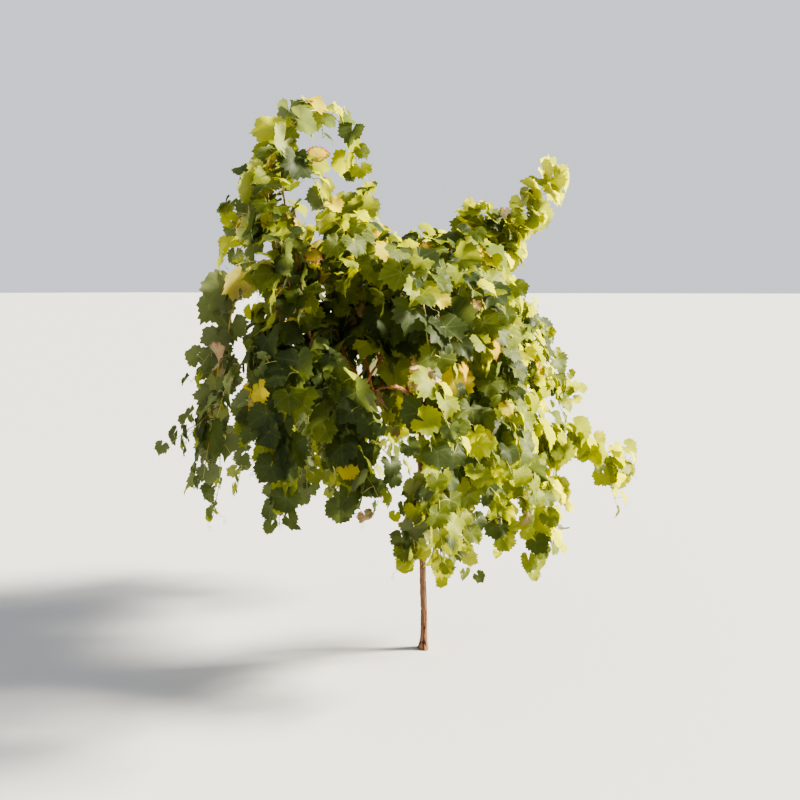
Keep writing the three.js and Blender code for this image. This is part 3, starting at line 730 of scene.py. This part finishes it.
def growSideShoot(bearer, ahead, space, faceJitter):
    # It sets out beside the stalk of a leaf, droops, and ends just beyond its own last leaf.
    length = mix(*lateral["length"], Draws(bearer["seed"] + lateral["seed"]).share() ** lateral["shortness"])
    out = unit(bearer["stalk"] * lateral["stalk"] + ahead * lateral["ahead"] + up * lateral["up"])
    t = np.linspace(0, 1, lateral["points"])[:, None]
    line = bearer["root"] + out * length * t - up * lateral["droop"] * length * t ** 2
    kept = []
    for k, distance in enumerate(nodesOf(length, lateral["first"], lateral["spacing"])):
        size = mix(lateral["size"][1], lateral["size"][0], distance / length)
        seed = bearer["seed"] + lateral["leafSeed"] + lateral["leafSeedStep"] * k
        grownLeaf = growLeaf(line, distance, k, size, seed, space, faceJitter)
        if grownLeaf:
            share = mix(bearer["share"], 1, 0.5)
            grownLeaf.update(mass=bearer["mass"], share=share, seed=bearer["seed"] + k)
            kept.append(distance)
    if not kept:
        return []
    cut = along(line, np.linspace(0, max(kept) + lateral["beyond"], lateral["points"]))
    return [shootPart(cut, np.array(kept), lateral["radius"], lateral["tipRadius"], lateral["sides"],
                      lateral["kink"])]


sideShoots = []
for one in shoots:
    mass = one["mass"]
    habit = strong.get(mass["name"], usual)
    space = mass["skeleton"], np.concatenate([m["skeleton"] for m in masses if m is not mass])
    for number, distance in enumerate(one["nodes"]):
        share = distance / one["length"]
        seed = leaf["seeds"] * one["massNumber"] + leaf["shootSeeds"] * one["index"] + leaf["tries"] * number
        size = mix(1, habit["young"], smooth(leaf["shrinkFrom"], leaf["tipFrom"], share))
        size = size * mix(1, habit["tip"], smooth(leaf["tipFrom"], 1, share))
        grownLeaf = growLeaf(one["line"], distance, number, size, seed, space, habit["jitter"])
        if not grownLeaf:
            continue
        grownLeaf.update(mass=mass["name"], share=share, seed=seed)
        one["lastLeaf"] = distance
        if lateral["share"][0] < share < lateral["share"][1]:
            ahead = directionAt(one["line"], distance)
            sideShoots += growSideShoot(grownLeaf, ahead, space, habit["jitter"])
    # The shoot ends just beyond its last leaf.
    end = min(one["length"], one["lastLeaf"] + stem["beyond"])
    kept = one["nodes"][one["nodes"] <= one["lastLeaf"]]
    cut = along(one["line"], np.append(np.arange(0, end, stem["nodeLength"]), end))
    one["part"] = shootPart(cut, kept, one["footRadius"], stem["tipRadius"], stem["sides"])
print("leaves:", len(leaves), "side shoots:", len(sideShoots))

massNames = [mass["name"] for mass in masses]


def stemMaterial(name, stops, roughness):
    # Brown at the foot and green at the tip, with fine streaks along it.
    material, add, calc, blend, band = newMaterial(name)
    v, cylinder = roundVector(add, calc, 1.2, 5.0)
    streaks = add("TexNoise", {"Vector": cylinder, "Scale": 3.0, "Detail": 4.0}).outputs["Fac"]
    place = calc("ADD", v, calc("MULTIPLY", calc("SUBTRACT", streaks, 0.5), 0.35))
    ramp = add("ValToRGB", {0: place})
    while len(ramp.color_ramp.elements) < len(stops):
        ramp.color_ramp.elements.new(0.5)
    for element, (at, colour) in zip(ramp.color_ramp.elements, stops):
        element.position = at
        element.color = colour
    darker = blend(1.0, ramp.outputs[0], rgb(0.7, 0.66, 0.6), "MULTIPLY")
    colour = blend(band(streaks, 0.4, 0.8), ramp.outputs[0], darker)
    bump = add("Bump", {"Height": streaks, "Strength": 0.25, "Distance": 0.0004}).outputs[0]
    shader = add("BsdfPrincipled", {"Base Color": colour, "Roughness": roughness, "Normal": bump,
                                    "Specular IOR Level": 0.4})
    add("OutputMaterial", {0: shader.outputs[0]})
    return material


shootColour = stemMaterial("shoot_green", [(0.0, rgb(0.24, 0.10, 0.045)), (0.3, rgb(0.33, 0.17, 0.07)),
                                           (0.52, rgb(0.34, 0.30, 0.10)), (1.0, rgb(0.34, 0.42, 0.13))], 0.5)
stalkColour = stemMaterial("stalk_green", [(0.0, rgb(0.40, 0.20, 0.10)), (0.4, rgb(0.42, 0.38, 0.14)),
                                           (1.0, rgb(0.44, 0.46, 0.18))], 0.45)
tendrilColour = stemMaterial("tendril_pale", [(0.0, rgb(0.42, 0.40, 0.17)), (0.6, rgb(0.55, 0.50, 0.28)),
                                              (1.0, rgb(0.62, 0.52, 0.36))], 0.5)
addPiece("shoots_green", *joined([one["part"] for one in shoots]), shootColour, "foliage", massNames)
addPiece("side_shoots", *joined(sideShoots), shootColour, "foliage", massNames)


# Leaf stalks: a quadratic curve from the shoot to the blade, all in one array.
stalk = dict(rings=5, sides=5, footRadius=1.7, radius=1.15, footLength=0.35, thinnest=0.55, middle=0.55,
             bow=0.18, lift=0.7)


def stalkParts():
    # point = (1 - t)^2 root + 2 t (1 - t) middle + t^2 foot of the blade, with rings round it.
    root, foot, ahead, size = (np.array([grownLeaf[key] for grownLeaf in leaves])
                               for key in ("root", "foot", "stalk", "size"))
    size = size[:, None]
    middle = root + ahead * stalk["middle"] * leaf["stalk"] * size + up * stalk["bow"] * leaf["stalk"] * size
    t = np.linspace(0, 1, stalk["rings"])
    a, b, c = (1 - t) ** 2, 2 * t * (1 - t), t ** 2
    line = root[:, None] * a[:, None] + middle[:, None] * b[:, None] + foot[:, None] * c[:, None]
    forward = unit(np.gradient(line, axis=1))
    across = unit(np.cross(forward, np.broadcast_to(ahead[:, None], forward.shape) + up * stalk["lift"]))
    beside = np.cross(forward, across)
    angle = 2 * math.pi * np.arange(stalk["sides"]) / stalk["sides"]
    spokes = across[:, :, None] * np.cos(angle)[:, None] + beside[:, :, None] * np.sin(angle)[:, None]
    radii = mix(stalk["footRadius"], stalk["radius"], smooth(0, stalk["footLength"], t))
    radii = radii * mix(stalk["thinnest"], 1, size)
    points = line[:, :, None] + spokes * radii[:, :, None, None]
    faces, uv = tubeFaces(stalk["rings"], stalk["sides"], t)
    offsets = np.arange(len(leaves))[:, None, None] * stalk["rings"] * stalk["sides"]
    return points.reshape(-1, 3), (faces[None] + offsets).reshape(-1, 4), np.tile(uv, (len(leaves), 1, 1))


addPiece("leaf_stalks", *stalkParts(), stalkColour, "foliage", massNames)


# Tendrils opposite some leaves: straight at first, then a curl of growing turns.
tendril = dict(share=0.2, after=0.25, length=(70, 150), curl=(5, 11), turns=(1.2, 3.2), radius=1.0,
               tipRadius=0.45, rings=42, sides=3, away=0.8, forward=0.6, stray=0.4, lean=0.3,
               curlFrom=(0.4, 1.15), short=0.35, sag=0.25, seed=9000, seedStep=17)


def tendrilPart(root, forward, away, chance):
    # point = straight line - sag t^2 + curl x a circle whose angle runs faster and faster.
    length = mix(*tendril["length"], chance.share())
    curl = mix(*tendril["curl"], chance.share())
    turns = mix(*tendril["turns"], chance.share()) * (1 if chance.share() < 0.5 else -1)
    stray = jittered(chance, [tendril["stray"]] * 3)
    out = unit(away * tendril["away"] + forward * tendril["forward"] + stray)
    side = unit(np.cross(out, up + tendril["lean"] * forward))
    t = np.linspace(0, 1, tendril["rings"])[:, None]
    wind = turns * 2 * math.pi * smooth(*tendril["curlFrom"], t)
    centre = root + out * length * (t - tendril["short"] * smooth(0.5, 1, t))
    centre = centre - up * tendril["sag"] * length * t ** 2
    centre = centre + curl * ((1 - np.cos(wind)) * side + np.sin(wind) * np.cross(side, out))
    radii = mix(tendril["radius"], tendril["tipRadius"], t[:, 0])
    return tubePart(centre, radii, tendril["sides"], t[:, 0])


tendrils = []
for one in shoots:
    for number, distance in enumerate(one["nodes"]):
        seed = leaf["seeds"] * one["massNumber"] + leaf["shootSeeds"] * one["index"]
        chance = Draws(tendril["seed"] + seed + tendril["seedStep"] * number)
        bare = distance > one["lastLeaf"] or distance / one["length"] < tendril["after"]
        if bare or chance.share() > tendril["share"]:
            continue
        root, ahead = along(one["line"], distance), directionAt(one["line"], distance)
        away = unit(np.cross(ahead, openAir(root))) * (-1 if number % 2 else 1)
        tendrils.append(tendrilPart(root, ahead, away, chance))
addPiece("tendrils", *joined(tendrils), tendrilColour, "foliage", massNames)
print("tendrils:", len(tendrils))


# A leaf is a sheet in polar coordinates round the end of its stalk: an angle from the tip, and a share of
# the outline's radius at that angle. Five lobes follow the main veins, with teeth all along the margin.
# It has few faces: a ring of points halfway out, on the veins and between them, and the points of the margin.
blade = dict(inner=0.52, innerAngles=(0, 25, 50, 75, 100, 128, 158), notch=0.11, veinAngle=50, ruffles=5,
             mapReach=1.05, teeth=(0, 17, 34, 50, 67, 84, 102, 122, 143, 165),
             lobes=((0, 1.0), (17, 0.86), (27, 0.79), (50, 0.93), (66, 0.83), (76, 0.76), (102, 0.83),
                    (118, 0.75), (136, 0.70), (154, 0.62), (165, 0.52), (176, 0.2), (180, 0.05)),
             uneven=0.06, lobing=(0.55, 1.2), width=(0.92, 1.1), puff=(0.05, 0.13), puffOut=1.25)
freshForm = dict(size=1.0, fold=(-0.05, 0.4), hang=(0.0, 0.5), cup=(-0.05, 0.3), ruffle=(0.02, 0.1),
                 warp=0.3)
curledForm = dict(size=0.74, fold=(0.35, 1.0), hang=(0.2, 0.9), cup=(0.2, 0.8), ruffle=(0.08, 0.2),
                  warp=0.6)


def bothSides(half):
    half = np.sort(half)
    return np.concatenate((-half[:0:-1], half))


def leafOutline():
    # The angles of the inner ring and of the margin, and then of every point, the end of the stalk first:
    # its angle, its share of the radius, its notch and the outline's radius there.
    teeth = np.array(blade["teeth"], float)
    notches = (teeth[1:] + teeth[:-1]) / 2
    inner = bothSides(np.array(blade["innerAngles"], float))
    outer = bothSides(np.concatenate((teeth, notches)))
    angles = np.concatenate(([0.0], inner, outer))
    shares = np.repeat((0.0, blade["inner"], 1.0), (1, len(inner), len(outer)))
    depth = np.where(np.isin(np.abs(angles), notches) & (shares == 1), 1 - blade["notch"], 1)
    return inner, outer, angles, shares, depth, np.interp(np.abs(angles), *zip(*blade["lobes"]))


def leafFaces(inner, outer):
    # Triangles round the end of the stalk, then a strip out to the margin, all with their upper side out.
    innerAt = 1 + np.arange(len(inner))
    outerAt = 1 + len(inner) + np.arange(len(outer))
    faces = [(0, b, a) for a, b in zip(innerAt, innerAt[1:])]
    faces += [(0, innerAt[0], outerAt[0]), (0, outerAt[-1], innerAt[-1])]
    i = j = 0
    while i + j < len(inner) + len(outer) - 2:
        if i == len(inner) - 1 or (j < len(outer) - 1 and outer[j + 1] < inner[i + 1]):
            faces.append((innerAt[i], outerAt[j + 1], outerAt[j]))
            j += 1
        else:
            faces.append((innerAt[i], innerAt[i + 1], outerAt[j]))
            i += 1
    return np.array(faces)


innerRing, outerRing, leafAngles, leafShares, leafNotches, leafRadii = leafOutline()
sheetFaces = leafFaces(innerRing, outerRing)


def flatLeaf(radius, theta):
    return radius * np.cos(theta), radius * np.sin(theta)


def leafSheets(group, form):
    # x runs along the midrib, y across and z up from the blade, all as shares of the midrib's length:
    # z = fold |y| - hang x^2 + puff between the main veins - cup r^2 + waves of the margin + warp x y
    rng = np.random.default_rng(group[0]["seed"] + len(group))

    def pick(low, high):
        return rng.uniform(low, high, (len(group), 1))

    theta = (leafAngles * degree)[None]
    shares = leafShares[None]
    uneven = 1 + rng.uniform(-blade["uneven"], blade["uneven"], (len(group), len(leafAngles)))
    radius = shares * leafRadii ** pick(*blade["lobing"]) * leafNotches * uneven
    x, y = flatLeaf(radius, theta)
    y = y * pick(*blade["width"])
    between = np.sin(np.pi * np.abs(theta) / (blade["veinAngle"] * degree)) ** 2
    z = pick(*form["fold"]) * np.abs(y) - pick(*form["hang"]) * np.maximum(x, 0) ** 2
    z = z + pick(*blade["puff"]) * between * shares * (blade["puffOut"] - shares)
    z = z - pick(*form["cup"]) * radius ** 2
    z = z + pick(*form["ruffle"]) * shares ** 2 * np.sin(blade["ruffles"] * theta + pick(0, 2 * math.pi))
    z = z + pick(-form["warp"], form["warp"]) * x * y
    axis, aside, normal, foot = (np.array([grownLeaf[key] for grownLeaf in group])[:, None]
                                 for key in ("axis", "aside", "normal", "foot"))
    sizes = np.array([grownLeaf["size"] for grownLeaf in group])
    reach = form["size"] * leaf["midrib"] * sizes[:, None, None]
    points = foot + reach * (x[..., None] * axis + y[..., None] * aside + z[..., None] * normal)
    return points.reshape(-1, 3)


# The pattern of a leaf, in shares of its midrib. Bands are low and high, and the values there.
leafLook = dict(veinWidth=0.02, veinTaper=-0.012, veinBand=(0.5, 1.3, 1.0, 0.0), sideVeins=7.5,
                sideSlant=-1.15, sideBand=(0.0, 0.09, 0.55, 0.0), mottle=5.0, mottleBand=(0.3, 0.72),
                burnUneven=0.9, burnWidth=0.22, speck=26.0, speckBand=(0.62, 0.8, 0.0, 0.25), veinShare=0.6,
                backVeinShare=0.5, bump=0.35, bumpDepth=0.0012, roughness=0.52, specular=0.2)


def leafMaterial(name, face, dark, vein, under, glow, margin, marginFrom, through=0.42):
    # A mottled face with paler veins, burnt along the margin, a paler back, and light that shines through.
    material, add, calc, blend, band = newMaterial(name)
    uv = add("SeparateXYZ", {0: add("UVMap", uv_map=ownMap).outputs[0]})
    x, y = (calc("MULTIPLY_ADD", uv.outputs[k], 2 * blade["mapReach"], -blade["mapReach"]) for k in (0, 1))
    theta = calc("ARCTAN2", y, x)
    radius = calc("SQRT", calc("ADD", calc("MULTIPLY", x, x), calc("MULTIPLY", y, y)))
    edge = add("Attribute", attribute_name="edge").outputs["Fac"]
    # The nearest main vein, and the place along it and beside it.
    turns = calc("DIVIDE", calc("ABSOLUTE", theta), blade["veinAngle"] * degree)
    off = calc("SUBTRACT", calc("FRACT", calc("ADD", turns, 0.5)), 0.5)
    off = calc("MULTIPLY", calc("ABSOLUTE", off), blade["veinAngle"] * degree)
    beside = calc("MULTIPLY", radius, calc("SINE", off))
    onward = calc("MULTIPLY", radius, calc("COSINE", off))
    width = calc("MULTIPLY_ADD", radius, leafLook["veinTaper"], leafLook["veinWidth"])
    main = band(calc("DIVIDE", beside, width), *leafLook["veinBand"])
    slant = calc("MULTIPLY_ADD", beside, leafLook["sideSlant"], onward)
    stripe = calc("FRACT", calc("MULTIPLY", slant, leafLook["sideVeins"]))
    fine = band(calc("ABSOLUTE", calc("SUBTRACT", stripe, 0.5)), *leafLook["sideBand"])
    veins = calc("MAXIMUM", main, fine)
    flat = add("CombineXYZ", {0: x, 1: y}).outputs[0]
    mottle = add("TexNoise", {"Vector": flat, "Scale": leafLook["mottle"], "Detail": 5.0,
                              "Roughness": 0.6}).outputs["Fac"]
    speck = add("TexNoise", {"Vector": flat, "Scale": leafLook["speck"], "Detail": 3.0}).outputs["Fac"]
    colour = blend(band(mottle, *leafLook["mottleBand"]), face, dark)
    colour = blend(calc("MULTIPLY", veins, leafLook["veinShare"]), colour, vein)
    uneven = calc("MULTIPLY", calc("SUBTRACT", mottle, 0.5), leafLook["burnUneven"])
    burnt = band(calc("ADD", edge, uneven), marginFrom, marginFrom + leafLook["burnWidth"])
    colour = blend(burnt, colour, margin)
    colour = blend(band(speck, *leafLook["speckBand"]), colour, margin)
    backVeins = calc("MULTIPLY", veins, leafLook["backVeinShare"])
    seen = blend(add("NewGeometry").outputs["Backfacing"], colour, blend(backVeins, under, vein))
    height = calc("ADD", calc("MULTIPLY", veins, -0.6), calc("MULTIPLY", mottle, 0.5))
    bump = add("Bump", {"Height": height, "Strength": leafLook["bump"],
                        "Distance": leafLook["bumpDepth"]}).outputs[0]
    gloss = add("BsdfPrincipled", {"Base Color": seen, "Roughness": leafLook["roughness"],
                                   "Specular IOR Level": leafLook["specular"], "Normal": bump})
    lit = blend(backVeins, glow, vein)
    thin = add("BsdfTranslucent", {"Color": blend(burnt, lit, margin), "Normal": bump})
    shader = add("MixShader", {0: through, 1: gloss.outputs[0], 2: thin.outputs[0]})
    add("OutputMaterial", {0: shader.outputs[0]})
    return material


# Colours of the leaves, dealt out by spray: how far up the scale from dark to bright a mass stands, and what
# share of its older leaves has turned. The scale is partly painted shade and sunlight: darker, shaded copies
# of one green for masses that stand in shade, and brighter, sunlit copies where the sun falls.
# The first four tints are one leaf green from darker to brighter, in part painted shade and painted sunlight.
tints = {
    "shadedDeep": dict(face=rgb(0.042, 0.060, 0.022), dark=rgb(0.026, 0.040, 0.016), vein=rgb(0.14, 0.17, 0.075),
                 under=rgb(0.16, 0.18, 0.10), glow=rgb(0.21, 0.26, 0.075), margin=rgb(0.11, 0.09, 0.035),
                 marginFrom=1.1),
    "mid": dict(face=rgb(0.085, 0.110, 0.026), dark=rgb(0.054, 0.076, 0.020), vein=rgb(0.25, 0.29, 0.12),
                under=rgb(0.25, 0.28, 0.13), glow=rgb(0.42, 0.46, 0.06), margin=rgb(0.24, 0.18, 0.06),
                marginFrom=1.05),
    "light": dict(face=rgb(0.185, 0.215, 0.032), dark=rgb(0.12, 0.155, 0.028), vein=rgb(0.36, 0.39, 0.10),
                  under=rgb(0.33, 0.35, 0.16), glow=rgb(0.64, 0.66, 0.055), margin=rgb(0.34, 0.25, 0.05),
                  marginFrom=1.05),
    "sunlitFresh": dict(face=rgb(0.35, 0.36, 0.038), dark=rgb(0.25, 0.275, 0.032), vein=rgb(0.48, 0.48, 0.12),
                  under=rgb(0.42, 0.43, 0.17), glow=rgb(0.84, 0.82, 0.06), margin=rgb(0.46, 0.35, 0.06),
                  marginFrom=1.1),
    "yellow": dict(face=rgb(0.50, 0.42, 0.065), dark=rgb(0.38, 0.34, 0.05), vein=rgb(0.44, 0.44, 0.12),
                   under=rgb(0.47, 0.42, 0.17), glow=rgb(0.86, 0.70, 0.09), margin=rgb(0.38, 0.19, 0.05),
                   marginFrom=0.95),
    "turning": dict(face=rgb(0.33, 0.31, 0.055), dark=rgb(0.36, 0.24, 0.055), vein=rgb(0.38, 0.38, 0.11),
                    under=rgb(0.38, 0.31, 0.15), glow=rgb(0.66, 0.50, 0.08), margin=rgb(0.22, 0.09, 0.035),
                    marginFrom=0.7),
    "dry": dict(face=rgb(0.35, 0.265, 0.15), dark=rgb(0.23, 0.155, 0.08), vein=rgb(0.42, 0.34, 0.21),
                under=rgb(0.46, 0.40, 0.28), glow=rgb(0.44, 0.30, 0.14), margin=rgb(0.18, 0.10, 0.055),
                marginFrom=0.8, through=0.14),
}
# A mass's level paints shade or sunlight on its leaves: low in the crown's shade, high where the sun falls.
sprays = {
    "left_arch": (0.30, 0.10), "left_end": (0.08, 0.06), "left_top": (0.40, 0.18), "left_front": (0.36, 0.07),
    "left_back": (0.08, 0.06), "left_inner_front": (0.44, 0.07), "left_inner_back": (0.22, 0.08),
    "left_inner_top": (0.48, 0.22), "centre_top": (0.46, 0.24), "centre_front": (0.46, 0.05),
    "centre_back": (0.50, 0.10), "trunk_spray": (0.44, 0.03), "right_rising": (0.62, 0.04),
    "right_top": (0.48, 0.14), "right_inner_front": (0.48, 0.07), "right_drop": (0.58, 0.03),
    "right_inner_back": (0.48, 0.10), "right_front": (0.46, 0.06), "right_back": (0.54, 0.08),
    "right_outer_top": (0.46, 0.10), "right_end": (0.42, 0.06),
}
levels = (("shadedDeep", 0.34), ("mid", 0.58), ("light", 0.84), ("sunlitFresh", 9))
# How a leaf gets its tint: the share of turned leaves falls from a shoot's foot to its tip, and the others
# stand a little further up the scale towards the tip.
dealing = dict(seed=60000, seedStep=13, turnedFoot=1.6, turnedFall=1.5, yellow=0.5, turning=0.6, climb=0.25,
               middle=0.4, jitter=0.32)


def tintOf(grownLeaf):
    chance = Draws(dealing["seed"] + dealing["seedStep"] * grownLeaf["seed"])
    level, turned = sprays[grownLeaf["mass"]]
    if chance.share() < turned * (dealing["turnedFoot"] - dealing["turnedFall"] * grownLeaf["share"]):
        if chance.share() < dealing["yellow"]:
            return "yellow"
        return "turning" if chance.share() < dealing["turning"] else "dry"
    level = level + dealing["climb"] * (grownLeaf["share"] - dealing["middle"])
    level = level + chance.around(dealing["jitter"])
    return next(name for name, most in levels if level < most)


flatPlaces = np.stack(flatLeaf(leafShares * leafRadii * leafNotches, leafAngles * degree), axis=-1)
sheetMap = (0.5 + flatPlaces / (2 * blade["mapReach"]))[sheetFaces]
mostTriangles = 190000
mostSheets = mostTriangles // len(sheetFaces)
for tintName, tint in tints.items():
    chosen = [grownLeaf for grownLeaf in leaves if tintOf(grownLeaf) == tintName]
    form = curledForm if tintName == "dry" else freshForm
    material = leafMaterial("leaf_" + tintName, **tint)
    for k in range(0, len(chosen), mostSheets):
        group = chosen[k:k + mostSheets]
        offsets = np.arange(len(group))[:, None, None] * len(leafAngles)
        name = "leaves_" + tintName + ("" if k == 0 else "_" + str(k // mostSheets + 1))
        addPiece(name, leafSheets(group, form), (sheetFaces[None] + offsets).reshape(-1, 3),
                 np.tile(sheetMap, (len(group), 1, 1)), material, "foliage", massNames,
                 {"edge": np.tile(leafShares, len(group))})
    print("leaves", tintName, len(chosen))
print("faces of a leaf:", len(sheetFaces))


# The stage: a plain pale floor, a soft low sun from the right, and the pale room. Ways and places of the
# lights are shares or metres to the right, forward and up, as the camera sees them.
stage = dict(floorReach=400.0, floorTone=0.42, room=(0.92, 0.94, 1.0), roomStrength=0.55,
             sun=(1.0, 0.93, 0.78), sunStrength=14.0, sunSoftness=11.0, toSun=(0.86, 0.06, 0.5),
             fillStrength=25.0, fillSize=3.0, fillPlace=(-2.2, -2.6, 3.2), fillAim=(0, 0, 1.3))
camera = dict(place=(-3.107, -1.416, 1.668), ahead=(0.8957, 0.4445), pitch=-8.15, lens=34.56, sensor=36.0,
              look="AgX - High Contrast", exposure=0.3)

bpy.ops.mesh.primitive_plane_add(size=2 * stage["floorReach"])
floor = bpy.context.object
floor.name = "floor"
floor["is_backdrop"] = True
material, add, *_ = newMaterial("floor_pale")
shader = add("BsdfPrincipled", {"Base Color": rgb(*[stage["floorTone"]] * 3), "Roughness": 0.9})
add("OutputMaterial", {0: shader.outputs[0]})
floor.data.materials.append(material)

world = bpy.data.worlds.new("room")
bpy.context.scene.world = world
world.use_nodes = True
world.node_tree.nodes["Background"].inputs[0].default_value = rgb(*stage["room"])
world.node_tree.nodes["Background"].inputs[1].default_value = stage["roomStrength"]

forward = np.array((*camera["ahead"], 0.0))
rightward = np.array((camera["ahead"][1], -camera["ahead"][0], 0.0))


def asSeen(right, onward, above):
    return Vector(right * rightward + onward * forward + above * up)


def putInScene(name, data, place, backwards):
    # Lights and cameras look along their own -Z, so Z points backwards.
    made = bpy.data.objects.new(name, data)
    made.location = place
    made.rotation_mode = "QUATERNION"
    made.rotation_quaternion = backwards.to_track_quat("Z", "Y")
    bpy.context.collection.objects.link(made)
    return made


sunLight = bpy.data.lights.new("sun", "SUN")
sunLight.energy = stage["sunStrength"]
sunLight.color = stage["sun"]
sunLight.angle = stage["sunSoftness"] * degree
putInScene("sun", sunLight, (0, 0, 0), asSeen(*stage["toSun"]))

fillLight = bpy.data.lights.new("fill", "AREA")
fillLight.energy = stage["fillStrength"]
fillLight.size = stage["fillSize"]
fillPlace = asSeen(*stage["fillPlace"])
putInScene("fill", fillLight, fillPlace, fillPlace - Vector(stage["fillAim"]))

cameraData = bpy.data.cameras.new("camera")
cameraData.lens = camera["lens"]
cameraData.sensor_width = camera["sensor"]
pitch = camera["pitch"] * degree
back = Vector(-math.cos(pitch) * forward - math.sin(pitch) * up)
bpy.context.scene.camera = putInScene("camera", cameraData, camera["place"], back)
bpy.context.scene.view_settings.look = camera["look"]
bpy.context.scene.view_settings.exposure = camera["exposure"]

triangles = sum(len(p.vertices) - 2 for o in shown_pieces() for p in o.data.polygons)
print("triangles:", triangles)
